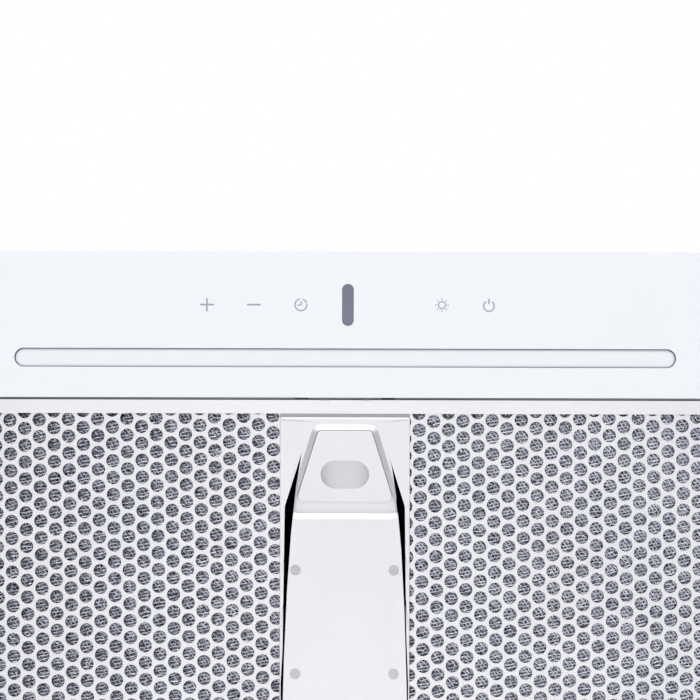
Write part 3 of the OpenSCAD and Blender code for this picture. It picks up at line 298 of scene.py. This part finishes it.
def make_materials(colours):
    """Every finish, by the record's slot name, with the printing ink besides."""
    coat = tuple(colours.coat)
    glass = tuple(colours.glass)
    ink = tuple(colours.ink)
    metal = {"Metallic": 1.0}
    return {
        # Polyester powder coat on steel: an orange peel about 1.3 mm across, low gloss.
        "powder_coat": grained("powder_coat_white", coat, [c * 0.985 for c in coat], 1.3, 0.02,
                               (0.4, 0.5), IOR=1.5),
        "galvanised": galvanised_sheet(),
        # Toughened float glass, printed white behind: a mirror-smooth face with slow waves. Its
        # ground edge shows the grey green of the glass's depth, and is paler round the light's slot.
        "white_glass": edge_tinted(
            grained("back_printed_float_glass", glass, [c * 0.994 for c in glass], 38, 0.004,
                    (0.04, 0.07), IOR=1.52, Coat_Weight=0.6, Coat_Roughness=0.03),
            UNDERSIDE + 0.03 * MM, GLASS[1].z, "66706F",
            near=((LENS[0].y + LENS[1].y) / 2, 9 * MM, "C3C8D6")),
        # Carbon-filled rubber: matt, with a dusty bloom.
        "black_rubber": grained("carbon_rubber", "2B2B2E", "161618", 0.5, 0.03, (0.65, 0.85)),
        # Cast acrylic, smoked, flush with the glass.
        "smoke_acrylic": grained("smoked_acrylic", "7B7D90", "737586", 9, 0.002, (0.12, 0.2),
                                 IOR=1.49),
        # Extruded opal acrylic: milky, with light spread under its skin.
        "opal_acrylic": grained("opal_acrylic", "B4BCD8", "ADB5D2", 12, 0.004, (0.2, 0.3),
                                IOR=1.49, Subsurface_Weight=0.1, Subsurface_Scale=0.001,
                                Subsurface_Radius=(1, 1, 1), Coat_Weight=0.5,
                                Coat_Roughness=0.1),
        # Rolled aluminium as it leaves the mill: faint lines 0.3 mm apart along the sheet.
        "bare_aluminium": grained("mill_aluminium", "D2D3D6", "BFC1C6", 0.3, 0.004, (0.3, 0.45),
                                  along=(120, 1, 1), **metal),
        # Brushed and clear anodised aluminium: scratches 0.14 mm apart and about 40 mm long.
        # Its rounded edges are painted dark grey as shade, a painted shadow line along the inner lip;
        # near the frame's front edge they keep the light colour.
        "brushed_aluminium": edge_tinted(
            grained("brushed_anodised_aluminium", "FBFAFD", "F2F1F6", 0.14, 0.004, (0.3, 0.42),
                    along=(300, 1, 1), **metal),
            PLATE[0].z + 0.12 * MM, FILTER[0].z + 0.1 * MM, "6C6C74",
            near=(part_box("filter_frame")[0].y, 2 * MM, "FBFAFD")),
        # Etched and lacquered aluminium: an even satin grain.
        # The tongue in front of the plate, down in the recess behind the frame's lip, is painted grey
        # as shade; its other upper edges take the grain's darker tone.
        "pale_aluminium": edge_tinted(
            grained("satin_lacquered_aluminium", "F4F3F7", "ECEBF0", 0.35, 0.006, (0.32, 0.44),
                    Metallic=0.85, Coat_Weight=0.25, Coat_Roughness=0.25),
            PLATE[0].z + 0.42 * MM, FILTER[0].z - 0.01 * MM, "ECEBF0",
            near=(PLATE[0].y + 1.9 * MM, 3.1 * MM, "AEAEB6")),
        # Slit and stretched aluminium foil: creased every millimetre or two.
        "mesh_foil": grained("expanded_aluminium_foil", "D6D9E4", "A0A4B3", 1.6, 0.1,
                             (0.25, 0.45), cloud_mm=7, **metal),
        "white_board": solder_mask("white_solder_mask", "E8E8E2", "D5D3C4"),
        "green_board": solder_mask("green_solder_mask", "0E4A2A", "1F6B3F"),
        # Yellow phosphor gel over the diode.
        "led_phosphor": grained("phosphor_gel", "F2D66B", "E2BF45", 0.4, 0.02, (0.2, 0.35),
                                Subsurface_Weight=0.2, Subsurface_Scale=0.0005),
        # Gold flash on spring steel.
        "gold_spring": grained("gold_flash", "E2BE62", "C79C3E", 0.25, 0.004, (0.18, 0.3), **metal),
        # Glass-filled polyamide, spark-eroded mould: a 0.35 mm texture.
        "black_plastic": grained("moulded_black_polyamide", "2A2A2D", "1C1C1F", 0.35, 0.02,
                                 (0.42, 0.6), IOR=1.53),
        # Acrylonitrile butadiene styrene, the same mould texture.
        "grey_plastic": grained("moulded_grey_abs", "AFB1B5", "9B9DA2", 0.4, 0.02, (0.4, 0.55)),
        "white_plastic": grained("moulded_white_polypropylene", "ECECEA", "DADAD7", 0.6, 0.015,
                                 (0.32, 0.48)),
        # Plastic sprayed silver white: fine flake under a satin lacquer.
        "pearl_plastic": grained("pearl_painted_abs", "F2F1F5", "E9E8ED", 0.22, 0.003,
                                 (0.34, 0.44), Metallic=0.35, Coat_Weight=0.3,
                                 Coat_Roughness=0.2),
        "coil_copper": enamelled_winding(),
        # Deep-drawn zinc-plated steel: draw lines run up the can.
        "motor_steel": grained("zinc_plated_can", "A9ABB0", "85878C", 0.5, 0.01, (0.28, 0.45),
                               along=(1, 1, 40), **metal),
        # Blue passivated zinc on turned steel.
        "bright_steel": grained("bright_zinc_steel", "C4C7CD", "A2A6AE", 0.3, 0.006, (0.2, 0.36),
                                **metal),
        # Closed-cell foam: pores of about a millimetre.
        "grey_foam": grained("closed_cell_foam", "5B5B5F", "3C3C40", 1.0, 0.2, (0.8, 0.95)),
        "white_sleeve": grained("silicone_sleeve", "E2E2E4", "CFCFD2", 0.8, 0.02, (0.45, 0.6)),
        # Ribbon cable: ribs 1.27 mm apart across its width.
        "grey_sleeve": grained("ribbon_cable_pvc", "A9A9AF", "8E8E95", 1.27, 0.08, (0.4, 0.55),
                               along=(1, 60, 60)),
        # Screen-printed ceramic ink on the glass.
        "ink": grained("screen_ink", ink, [c * 0.97 for c in ink], 0.5, 0.003, (0.3, 0.4)),
    }


# --- Mesh building ---------------------------------------------------------------------------

def quads_of(rows, columns, wrap_rows=False, wrap_columns=True):
    """Vertex numbers of a grid's quads: each joins a point to the next along its row and column."""
    r = np.arange(rows if wrap_rows else rows - 1)[:, None]
    c = np.arange(columns if wrap_columns else columns - 1)[None, :]
    r2, c2 = (r + 1) % rows, (c + 1) % columns
    quads = np.stack([r * columns + c, r * columns + c2, r2 * columns + c2, r2 * columns + c], -1)
    return quads.reshape(-1, 4)


def add_piece(name, points, faces, material, body, stands_for=(), sharp_deg=38,
              merge=1e-7):
    """Makes one piece from points and faces, closes its poles and seams, turns its faces outwards,
    and gives it its finish, its body and the nodes that it stands for."""
    mesh = bpy.data.meshes.new(name)
    mesh.from_pydata(np.asarray(points, float).reshape(-1, 3), [], [list(f) for f in faces])
    shape = bmesh.new()
    shape.from_mesh(mesh)
    bmesh.ops.remove_doubles(shape, verts=shape.verts, dist=merge)
    bmesh.ops.recalc_face_normals(shape, faces=shape.faces)
    shape.to_mesh(mesh)
    shape.free()
    return finish_piece(name, mesh, material, body, stands_for, sharp_deg)


def finish_piece(name, mesh, material, body, stands_for=(), sharp_deg=38):
    """Shades a mesh smooth up to sharp_deg and links it as a piece of the body."""
    mesh.polygons.foreach_set("use_smooth", [True] * len(mesh.polygons))
    mesh.set_sharp_from_angle(angle=math.radians(sharp_deg))
    mesh.materials.clear()
    mesh.materials.append(material)
    piece = bpy.data.objects.new(name, mesh)
    bpy.context.scene.collection.objects.link(piece)
    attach(piece, body)
    if stands_for:
        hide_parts(*stands_for)
    return piece


def ease_edges(node, radius_mm, material, lift=0.0, segments=2):
    """A copy of a CAD node with its triangles merged into faces and its sharp edges rounded."""
    source = frame["nodes"][node]
    shape = bmesh.new()
    shape.from_mesh(source.data)
    bmesh.ops.remove_doubles(shape, verts=shape.verts, dist=2e-6)
    bmesh.ops.dissolve_limit(shape, angle_limit=math.radians(0.6), verts=shape.verts,
                             edges=shape.edges)
    for vertex in shape.verts:
        vertex.co.z += lift
    mesh = bpy.data.meshes.new(f"{node}_eased")
    shape.to_mesh(mesh)
    shape.free()
    piece = finish_piece(f"{node}_eased", mesh, material, source["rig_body"], (node,))
    rounding = piece.modifiers.new("rounding", "BEVEL")
    rounding.width = radius_mm * MM
    rounding.segments = segments
    rounding.limit_method = "ANGLE"
    rounding.angle_limit = math.radians(40)
    rounding.harden_normals = False
    piece.modifiers.new("flat_faces", "WEIGHTED_NORMAL").keep_sharp = True
    return piece


def outline(corners, radius, per_arc=8, per_side=6):
    """A polygon with round corners as a path: each point's place on the shrunk polygon and its
    outward direction. Place plus direction times a radius gives the outline at that radius."""
    corners = np.asarray(corners, float)
    after = np.roll(corners, -1, axis=0) - corners
    after /= np.linalg.norm(after, axis=1)[:, None]
    normal = np.stack([after[:, 1], -after[:, 0]], 1)
    before = np.roll(normal, 1, axis=0)
    angle_in = np.arctan2(before[:, 1], before[:, 0])
    turn = (np.arctan2(normal[:, 1], normal[:, 0]) - angle_in) % (2 * math.pi)
    bisector = (before + normal) / (1 + (before * normal).sum(1))[:, None]
    inner = corners - bisector * radius
    share = np.linspace(0, 1, per_arc + 1)
    angle = angle_in[:, None] + turn[:, None] * share
    arc = np.stack([np.cos(angle), np.sin(angle)], -1)
    arc_place = np.repeat(inner[:, None], per_arc + 1, axis=1)
    side = np.linspace(0, 1, per_side + 2)[1:-1]
    far = np.roll(inner, -1, axis=0)
    side_place = inner[:, None] + (far - inner)[:, None] * side[None, :, None]
    side_way = np.repeat(normal[:, None], per_side, axis=1)
    place = np.concatenate([arc_place, side_place], 1).reshape(-1, 2)
    way = np.concatenate([arc, side_way], 1).reshape(-1, 2)
    return place, way


def lofted(path, way, profile):
    """Rings along a path: each profile row gives the distance from the path, which is one number or
    one for each point, and the height."""
    reach = np.stack([np.broadcast_to(row[0], len(path)) for row in profile])
    height = np.stack([np.full(len(path), row[1]) for row in profile])
    flat = path[None] + way[None] * reach[..., None]
    return np.concatenate([flat, height[..., None]], -1)


# --- Printed symbols -------------------------------------------------------------------------

def bar(centre, length, width, tall=False):
    """A rectangle as four corners about its centre, its length along X unless tall."""
    half = np.array([width, length] if tall else [length, width]) / 2
    signs = np.array([[-1, -1], [1, -1], [1, 1], [-1, 1]])
    return [np.asarray(centre) + signs * half]


def arc_band(centre, radius, width, start_deg, end_deg, steps=28):
    """A band round a centre as quads: two circles, half a width inside and outside the radius."""
    angle = np.radians(np.linspace(start_deg, end_deg, steps + 1))
    way = np.stack([np.cos(angle), np.sin(angle)], 1)
    inside = np.asarray(centre) + way * (radius - width / 2)
    outside = np.asarray(centre) + way * (radius + width / 2)
    return list(np.stack([inside[:-1], outside[:-1], outside[1:], inside[1:]], 1))


def symbol_shapes(size, stroke):
    """Quads of each symbol about its own middle. -Y is up for someone who reads them from below."""
    half = size / 2
    wing = half - stroke / 2
    dots = [np.array([math.cos(a), math.sin(a)]) * half * 0.9
            for a in np.arange(8) * math.pi / 4]
    return {
        -3: bar((0, 0), size, stroke)
            + bar((0, -(stroke / 2 + wing / 2)), wing, stroke, tall=True)
            + bar((0, stroke / 2 + wing / 2), wing, stroke, tall=True),
        -2: bar((0, 0), size, stroke),
        -1: arc_band((0, 0), half - stroke / 2, stroke * 0.85, -74, -18, 14)
            + arc_band((0, 0), half - stroke / 2, stroke * 0.85, -8, 262)
            + bar((stroke * 0.1, -half * 0.24), half * 0.62, stroke * 0.8, tall=True)
            + bar((-half * 0.3, stroke * 0.2), half * 0.4, stroke * 0.8),
        2: arc_band((0, 0), half * 0.52, stroke * 0.76, 0, 360)
            + [q for d in dots for q in arc_band(d, stroke * 0.24, stroke * 0.48, 0, 360, 10)],
        3: arc_band((0, half * 0.12), half * 0.78, stroke * 0.88, -57, 237)
            + bar((0, -half * 0.58), half * 0.82, stroke * 0.95, tall=True),
    }


class HOOD_OT_symbols(bpy.types.Operator):
    """Print the key symbols on the glass"""
    bl_idname = "hood.symbols"
    bl_label = "Print Symbols"

    def execute(self, context):
        sizes = context.scene.hood_sizes
        row = (DISPLAY[0].y + DISPLAY[1].y) / 2
        middle = (DISPLAY[0].x + DISPLAY[1].x) / 2
        names = {-3: "plus", -2: "minus", -1: "clock", 2: "lamp", 3: "power"}
        ink = bpy.data.materials["screen_ink"]
        low = UNDERSIDE + 0.006 * MM
        for place, quads in symbol_shapes(sizes.symbol_size, sizes.ink_stroke).items():
            flat = np.concatenate(quads) + [middle + place * sizes.key_pitch, row]
            points = np.concatenate([flat, np.full((len(flat), 1), low)], 1)
            faces = np.arange(len(flat)).reshape(-1, 4)
            piece = add_piece(f"symbol_{names[place]}", points, faces, ink, "hood")
            film = piece.modifiers.new("ink_film", "SOLIDIFY")
            film.thickness = 0.01 * MM
            film.offset = 0
        return {"FINISHED"}


# --- Lens ------------------------------------------------------------------------------------

class HOOD_OT_lens(bpy.types.Operator):
    """Build the opal lens that shines through the glass's slot"""
    bl_idname = "hood.lens"
    bl_label = "Build Lens"

    def execute(self, context):
        low, high = LENS
        crown = context.scene.hood_sizes.lens_crown
        flange = 2.2 * MM
        play = 0.27 * MM
        half = (high.y - low.y) / 2 - flange + play
        middle_x, middle_y = (low.x + high.x) / 2, (low.y + high.y) / 2
        run = (high.x - low.x) / 2 - flange + play
        ends = [[middle_x - run, middle_y - half], [middle_x + run, middle_y - half],
                [middle_x + run, middle_y + half], [middle_x - run, middle_y + half]]
        path, way = outline(ends, half, per_arc=16, per_side=8)
        # The face is a flat arch. Its edge turns up into the slot by a quarter of an ellipse that is
        # four times as wide on the side of the hood's front, which leaves a groove there.
        groove = (0.8 - 0.5 * way[:, 1]) * MM
        depth = 2.6 * MM
        spread = np.linspace(0, 1, 7)
        arch = [((half - groove) * s, low.z + crown * s ** 4) for s in spread]
        edge = [(half - groove * (1 - math.sin(a)), low.z + crown + depth * (1 - math.cos(a)))
                for a in np.radians(np.linspace(15, 90, 7))]
        block = [(half, GLASS[1].z), (half + flange - play, GLASS[1].z),
                 (half + flange - play, high.z),
                 (half * 0.5, high.z), (0, high.z)]
        rings = lofted(path, way, arch + edge + block)
        add_piece("light_lens_opal", rings, quads_of(len(rings), len(path)),
                  bpy.data.materials["opal_acrylic"], "hood", ("light_lens",),
                  merge=2e-6)
        return {"FINISHED"}


class HOOD_OT_bead(bpy.types.Operator):
    """Run the bead of silicone that bonds the glass's rear edge, open where the latch catches"""
    bl_idname = "hood.bead"
    bl_label = "Run Glass Bead"

    def execute(self, context):
        rear = GLASS[1].y
        half = GLASS[1].x - 6 * MM
        # The gaps for the latch's tongues lie between these two distances from the middle.
        inner, outer = 18.4 * MM, 25.2 * MM
        radius, depth, band = 0.425 * MM, 0.5 * MM, 1.0 * MM
        silicone = grained("grey_silicone", "85898F", "777B81", 0.8, 0.02, (0.5, 0.65))
        # Half an ellipse of that radius and depth hangs from the band behind the glass.
        turn = np.radians(np.linspace(0, 180, 9))
        y = np.append(rear + radius * (1 + np.cos(turn)), [rear, rear + 2 * radius])
        z = np.append(UNDERSIDE + band - depth * np.sin(turn), [GLASS[1].z, GLASS[1].z])
        spans = ((-half, -outer), (-inner, inner), (outer, half))
        for number, (start, end) in enumerate(spans):
            x = np.linspace(start, end, 2)
            points = np.stack([np.repeat(x[:, None], len(y), 1), np.tile(y, (2, 1)),
                               np.tile(z, (2, 1))], -1)
            ring = list(range(len(y)))
            faces = quads_of(2, len(y)).tolist() + [ring, [len(y) + i for i in ring]]
            add_piece(f"glass_bead_{number}", points, faces, silicone, "hood")
        return {"FINISHED"}


# --- Grease filter ---------------------------------------------------------------------------

def foil_layer(size, centre, height, cell, strand, turn, seed):
    """Points and quads of one stretched foil. Nodes lie on a diamond lattice, every other row half a
    cell along; each strand is a flat ribbon between two nodes, tilted about its own length."""
    random = np.random.default_rng(seed)
    reach = math.hypot(*size) / 2
    columns = np.arange(-int(reach / cell[0]) - 1, int(reach / cell[0]) + 2)
    rows = np.arange(-int(reach / cell[1] * 2) - 1, int(reach / cell[1] * 2) + 2)
    i, j = np.meshgrid(columns, rows, indexing="ij")
    x = (i + 0.5 * (j % 2)) * cell[0]
    y = j * cell[1] / 2
    x = x + random.normal(0, 0.10 * cell[0], x.shape)
    y = y + random.normal(0, 0.09 * cell[1], y.shape)
    z = random.normal(0, 0.16 * MM, x.shape)
    c, s = math.cos(turn), math.sin(turn)
    node = np.stack([x * c - y * s, x * s + y * c, z], -1)
    start = node[1:-1, :-1]
    odd = (j[1:-1, :-1] % 2).astype(bool)
    ahead = np.where(odd[..., None], node[2:, 1:], node[1:-1, 1:])
    behind = np.where(odd[..., None], node[1:-1, 1:], node[:-2, 1:])
    a = np.concatenate([start.reshape(-1, 3)] * 2)
    b = np.concatenate([ahead.reshape(-1, 3), behind.reshape(-1, 3)])
    inside = (np.abs(a[:, :2]) < np.array(size) / 2).all(1) & \
             (np.abs(b[:, :2]) < np.array(size) / 2).all(1)
    a, b = a[inside], b[inside]
    run = b - a
    run /= np.linalg.norm(run, axis=1)[:, None]
    side = np.stack([-run[:, 1], run[:, 0], np.zeros(len(run))], 1)
    tilt = np.radians(random.uniform(4, 42, len(run)))
    across = side * np.cos(tilt)[:, None] + np.array([0, 0, 1]) * np.sin(tilt)[:, None]
    half = across * (strand * random.uniform(0.7, 1.25, len(run)) / 2)[:, None]
    points = np.stack([a - half, b - half, b + half, a + half], 1) + [*centre, height]
    return points.reshape(-1, 3), np.arange(len(a) * 4).reshape(-1, 4)


class HOOD_OT_mesh(bpy.types.Operator):
    """Stretch the foil layers of the grease filter"""
    bl_idname = "hood.mesh"
    bl_label = "Stretch Foil"

    def execute(self, context):
        sizes = context.scene.hood_sizes
        low, high = FOIL
        margin = 0.6 * MM
        clearance = 1 * MM
        housing_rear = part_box("latch_housing")[1]
        latch_rear = housing_rear.y + clearance
        latch_half = housing_rear.x + clearance
        size = (high.x - low.x - 2 * margin, high.y - low.y - 2 * margin)
        centre = ((low.x + high.x) / 2, (low.y + high.y) / 2)
        levels = np.linspace(low.z + margin, high.z - margin, sizes.foil_layers)
        for layer, height in enumerate(levels):
            points, quads = foil_layer(size, centre, height, (sizes.foil_cell_x, sizes.foil_cell_y),
                                       sizes.foil_strand, (0.35, -0.6, 1.2, -1.1)[layer % 4],
                                       seed=layer + 7)
            corners = points.reshape(-1, 4, 3)
            clear = ~((np.abs(corners[..., 0]) < latch_half)
                      & (corners[..., 1] < latch_rear)).any(1)
            points = corners[clear].reshape(-1, 3)
            points[:, 2] = np.clip(points[:, 2], low.z, high.z)
            quads = np.arange(len(points)).reshape(-1, 4)
            mesh = bpy.data.meshes.new(f"foil_mesh_{layer}")
            mesh.from_pydata(points, [], quads.tolist())
            stands_for = ("mesh_pack",) if layer == 0 else ()
            finish_piece(f"foil_mesh_{layer}", mesh, bpy.data.materials["expanded_aluminium_foil"],
                         "filter", stands_for)
        return {"FINISHED"}


# --- Latch -----------------------------------------------------------------------------------

def paddle_corners(sizes, front, slack=0.0):
    """Corners of the paddle's trapezium, anticlockwise, its rear edge slack further back."""
    near = sizes.paddle_front / 2
    splay = math.tan(sizes.paddle_angle)
    far = near + (sizes.paddle_length + slack) * splay
    rear = front + sizes.paddle_length + slack
    return [[-near, front], [near, front], [far, rear], [-far, rear]]


def paired(profile, path, way):
    """The rings of a profile, each as (path, way, distance, height), so that paths can be mixed."""
    return [(path, way, reach, height) for reach, height in profile]


class HOOD_OT_latch_plate(bpy.types.Operator):
    """Press the plain plate round the latch, with its sloping surround"""
    bl_idname = "hood.latch_plate"
    bl_label = "Press Latch Plate"

    def execute(self, context):
        sizes = context.scene.hood_sizes
        low, high = PLATE
        sheet = FILTER[0].z - low.z
        front = low.y + sizes.plate_tuck
        half = high.x
        per_arc = 14
        hole, hole_way = outline(
            paddle_corners(sizes, front + sizes.paddle_inset, sizes.latch_travel + 1 * MM),
            sizes.paddle_corner, per_arc)
        flat_rim = 0.3 * MM
        corner_out = sizes.plate_round + flat_rim
        edge, edge_way = outline([[-half, front], [half, front], [half, high.y], [-half, high.y]],
                                 corner_out, per_arc)
        # The surround is a soft ramp: it bends into the face over about a millimetre, by the
        # logarithm of one plus an exponential, and ends straight at the opening.
        bend = 0.2 * MM
        grow = np.array([4.2, 3.8, 3.5, 3.3, 3.15, 3, 2.85, 2.7, 2.55, 2.4, 2.2, 2, 1.6, 1,
                         0.4, 0]) * MM
        rise = np.log1p(np.exp((sizes.slope_width - grow) / bend)) * bend
        rise = (rise - rise[0]) / (rise[-1] - rise[0]) * sizes.slope_depth
        corner = sizes.paddle_corner
        surround = [(corner + g, low.z + r) for g, r in zip(grow, rise)]
        # The outer edge is a quarter of an ellipse, wide at the front and narrow elsewhere.
        narrow = 0.4 * MM
        width = narrow + (sizes.plate_round - narrow) * np.clip(-edge_way[:, 1], 0, 1) ** 2
        turn = np.radians(np.linspace(0, 90, 8))
        rim = [(corner_out - width - flat_rim, low.z)]
        rim += [(corner_out - width * (1 - math.sin(a)),
                 low.z + 0.97 * sheet * (1 - math.cos(a))) for a in turn]
        back = 0.6 * sheet
        rings = (paired(surround[::-1], hole, hole_way) + paired(rim, edge, edge_way)
                 + paired([(corner_out, low.z + sheet)], edge, edge_way)
                 + paired([(r + back, z + sheet) for r, z in surround], hole, hole_way))
        points = np.concatenate([lofted(p, w, [(reach, z)]) for p, w, reach, z in rings])
        faces = quads_of(len(rings), len(hole), wrap_rows=True)
        # The tongue in front of the plate tucks in above the frame's lip.
        reach, tip = half - 0.1 * MM, 0.3 * MM
        tongue = [[-reach, low.y], [reach, low.y], [reach, front + sheet], [-reach, front + sheet]]
        strip, strip_way = outline(tongue, tip, 2, 1)
        under = low.z + sheet - 0.06 * MM
        over = under + 0.7 * MM
        shell = lofted(strip, strip_way, [(0, under), (tip, under), (tip, over), (0, over)])
        first = points.shape[0] * points.shape[1]
        shell_faces = quads_of(4, len(strip)) + first
        loop = np.arange(len(strip)) + first
        faces = faces.tolist() + shell_faces.tolist() + [loop.tolist(),
                                                         (loop + 3 * len(strip)).tolist()]
        plate = add_piece("latch_plate_pressed", np.concatenate([points.reshape(-1, 3),
                                                         shell.reshape(-1, 3)]),
                  faces, bpy.data.materials["satin_lacquered_aluminium"], "filter",
                  ("latch_plate",), sharp_deg=50)
        plate.modifiers.new("flat_faces", "WEIGHTED_NORMAL").keep_sharp = True
        return {"FINISHED"}


class HOOD_OT_springs(bpy.types.Operator):
    """Wind the two springs behind the latch"""
    bl_idname = "hood.springs"
    bl_label = "Wind Springs"

    def execute(self, context):
        sizes = context.scene.hood_sizes
        wire = sizes.spring_wire / 2
        low, high = SPRING
        coil = (high.z - low.z) / 2 - wire
        middle_z = (low.z + high.z) / 2
        turns, per_turn, sides = 7, 20, 8
        share = np.linspace(0, 1, turns * per_turn + 1)
        angle = 2 * math.pi * turns * share
        around = np.linspace(0, 2 * math.pi, sides, endpoint=False)
        start, run = low.y + wire, high.y - low.y - 2 * wire
        for side in (-1, 1):
            middle_x = side * (high.x - coil - wire)
            # The wire's circle stands in the plane of the coil's radius and the spring's length.
            radius = coil + wire * np.cos(around)[None, :]
            x = middle_x + radius * np.cos(angle)[:, None]
            z = middle_z + radius * np.sin(angle)[:, None]
            y = start + run * share[:, None] + wire * np.sin(around)[None, :]
            points = np.stack([x, y, z], -1)
            name = f"latch_spring_{'left' if side < 0 else 'right'}"
            faces = quads_of(len(share), sides).tolist()
            last = (len(share) - 1) * sides
            faces += [list(range(sides)), list(range(last, last + sides))]
            piece = add_piece(name, points, faces, bpy.data.materials["bright_zinc_steel"],
                              "filter", ("latch_springs",) if side < 0 else ())
            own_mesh(piece)
        return {"FINISHED"}


# --- CAD nodes -------------------------------------------------------------------------------

# How far each node's sharp edges are rounded, in millimetres.
EDGE_RADII = {
    "control_glass": 0.45, "top_panel": 0.3, "front_fascia": 0.35, "back_panel": 0.3,
    "side_panel_left": 0.35, "side_panel_right": 0.35, "bottom_frame": 0.35, "filter_frame": 0.3,
    "latch_paddle": 0.35, "duct_collar": 0.5, "cable_gland": 0.6, "control_tray": 0.4,
    "power_box": 0.8, "power_box_lid": 0.6, "latch_housing": 0.4, "plenum_box": 0.4,
    "cross_rail": 0.25, "transformer": 0.6, "terminal_block": 0.4, "rubber_mounts": 0.6,
    "run_capacitors": 0.8, "motor_left": 0.7, "motor_right": 0.7, "scroll_left": 0.4,
    "scroll_right": 0.4, "flap_front": 0.25, "flap_rear": 0.25,
}


class HOOD_OT_finishes(bpy.types.Operator):
    """Make the materials and give each frame node its own"""
    bl_idname = "hood.finishes"
    bl_label = "Finish Frame Nodes"

    def execute(self, context):
        made = make_materials(context.scene.hood_colours)
        slots = {part["node"]: part["material_slot"] for part in frame["record"]["subparts"]}
        for node, piece in frame["nodes"].items():
            piece.data.materials.clear()
            piece.data.materials.append(made[slots[node]])
        for slot, material in made.items():
            material["hood_slot"] = slot
        return {"FINISHED"}


class HOOD_OT_edges(bpy.types.Operator):
    """Round the folded, moulded and ground edges"""
    bl_idname = "hood.edges"
    bl_label = "Round Edges"

    def execute(self, context):
        slots = {part["node"]: part["material_slot"] for part in frame["record"]["subparts"]}
        by_slot = {m.get("hood_slot"): m for m in bpy.data.materials}
        # The glass moves up by the ink's thickness, so that the ink stays inside the frame's box.
        ink_room = 0.012 * MM
        for node, radius_mm in EDGE_RADII.items():
            lift = ink_room if node == "control_glass" else 0.0
            ease_edges(node, radius_mm, by_slot[slots[node]], lift)
        return {"FINISHED"}


# --- Stage -----------------------------------------------------------------------------------

def soft_light(name, place, target, size, power):
    """A soft box, as wide and high as size says, turned to face the target and hidden from view."""
    light = bpy.data.lights.new(name, "AREA")
    light.shape = "RECTANGLE"
    light.size, light.size_y = size
    light.energy = power
    lamp = bpy.data.objects.new(name, light)
    bpy.context.scene.collection.objects.link(lamp)
    lamp.location = place
    lamp.rotation_mode = "QUATERNION"
    lamp.rotation_quaternion = (Vector(target) - Vector(place)).to_track_quat("-Z", "Y")
    lamp.visible_camera = False


def dark_flag(name, place_x):
    """A grey upright board beside the hood, hidden from view, that draws its sideways edges."""
    bpy.ops.mesh.primitive_plane_add(size=1, location=(place_x, 0, -1.15),
                                     rotation=(0, math.radians(90), 0))
    flag = bpy.context.object
    flag.name = name
    flag.scale = (0.9, 1.7, 1)
    flag.visible_camera = False
    flag.data.materials.append(grained(f"{name}_cloth", "6E6E74", "66666C", 2, 0.02, (0.8, 0.9)))


class HOOD_OT_stage(bpy.types.Operator):
    """Set the floor, the soft lights and the camera below the hood"""
    bl_idname = "hood.stage"
    bl_label = "Set Stage"

    def execute(self, context):
        scene = context.scene
        bpy.ops.mesh.primitive_plane_add(size=14, location=(0, 0, -1.62))
        floor = context.object
        floor.name = "studio_floor"
        floor.data.materials.append(grained("studio_floor_paper", "F2F2F2", "EEEEEE", 2, 0.02,
                                            (0.7, 0.8)))
        for side in (-1, 1):
            dark_flag(f"dark_flag_{'left' if side < 0 else 'right'}", side * 1.3)
        world = bpy.data.worlds.new("white_room")
        world.use_nodes = True
        world.node_tree.nodes["Background"].inputs["Color"].default_value = (1, 1, 1, 1)
        world.node_tree.nodes["Background"].inputs["Strength"].default_value = 1.0
        scene.world = world
        middle = Vector((0, (GLASS[0].y + GLASS[1].y) / 2, UNDERSIDE))
        soft_light("front_soft_box", (0, -1.5, -1.1), middle, (2.0, 0.6), 6)
        soft_light("rear_soft_box", (0, 1.5, -1.1), middle, (2.0, 0.6), 6)
        soft_light("top_light", (-1.2, -1.6, 1.9), (0, 0, 0), (1.6, 1.6), 30)
        scene.view_settings.view_transform = "Standard"
        camera_data = bpy.data.cameras.new("camera")
        camera_data.lens = 70
        camera = bpy.data.objects.new("camera", camera_data)
        scene.collection.objects.link(camera)
        # The picture takes in 350 mm of the underside, a little to the right of its middle, and is
        # centred behind the glass's front edge.
        field, aside, behind_edge = 350 * MM, 2.4 * MM, 49.15 * MM
        distance = field * camera_data.lens / camera_data.sensor_width
        camera.location = (aside, GLASS[0].y + behind_edge, UNDERSIDE - distance)
        camera.rotation_euler = (math.pi, 0, math.radians(-0.15))
        scene.camera = camera
        return {"FINISHED"}


# --- Panel and registration ------------------------------------------------------------------

STEPS = (HOOD_OT_finishes, HOOD_OT_edges, HOOD_OT_symbols, HOOD_OT_lens, HOOD_OT_bead,
         HOOD_OT_mesh, HOOD_OT_latch_plate, HOOD_OT_springs, HOOD_OT_stage)


class HOOD_PT_panel(bpy.types.Panel):
    """Lists the hood's sizes, colours and steps"""
    bl_idname = "HOOD_PT_panel"
    bl_label = "Range Hood"
    bl_space_type = "VIEW_3D"
    bl_region_type = "UI"
    bl_category = "Range Hood"

    def draw(self, context):
        for group in (context.scene.hood_sizes, context.scene.hood_colours):
            for name in group.__annotations__:
                self.layout.prop(group, name)
        for step in STEPS:
            self.layout.operator(step.bl_idname)


CLASSES = (HoodSizes, HoodColours, *STEPS, HOOD_PT_panel)


def register():
    for made in CLASSES:
        bpy.utils.register_class(made)
    bpy.types.Scene.hood_sizes = PointerProperty(type=HoodSizes)
    bpy.types.Scene.hood_colours = PointerProperty(type=HoodColours)


def unregister():
    del bpy.types.Scene.hood_sizes
    del bpy.types.Scene.hood_colours
    for made in reversed(CLASSES):
        bpy.utils.unregister_class(made)


def main():
    register()
    for step in STEPS:
        group, name = step.bl_idname.split(".")
        getattr(getattr(bpy.ops, group), name)()


if __name__ == "__main__":
    main()
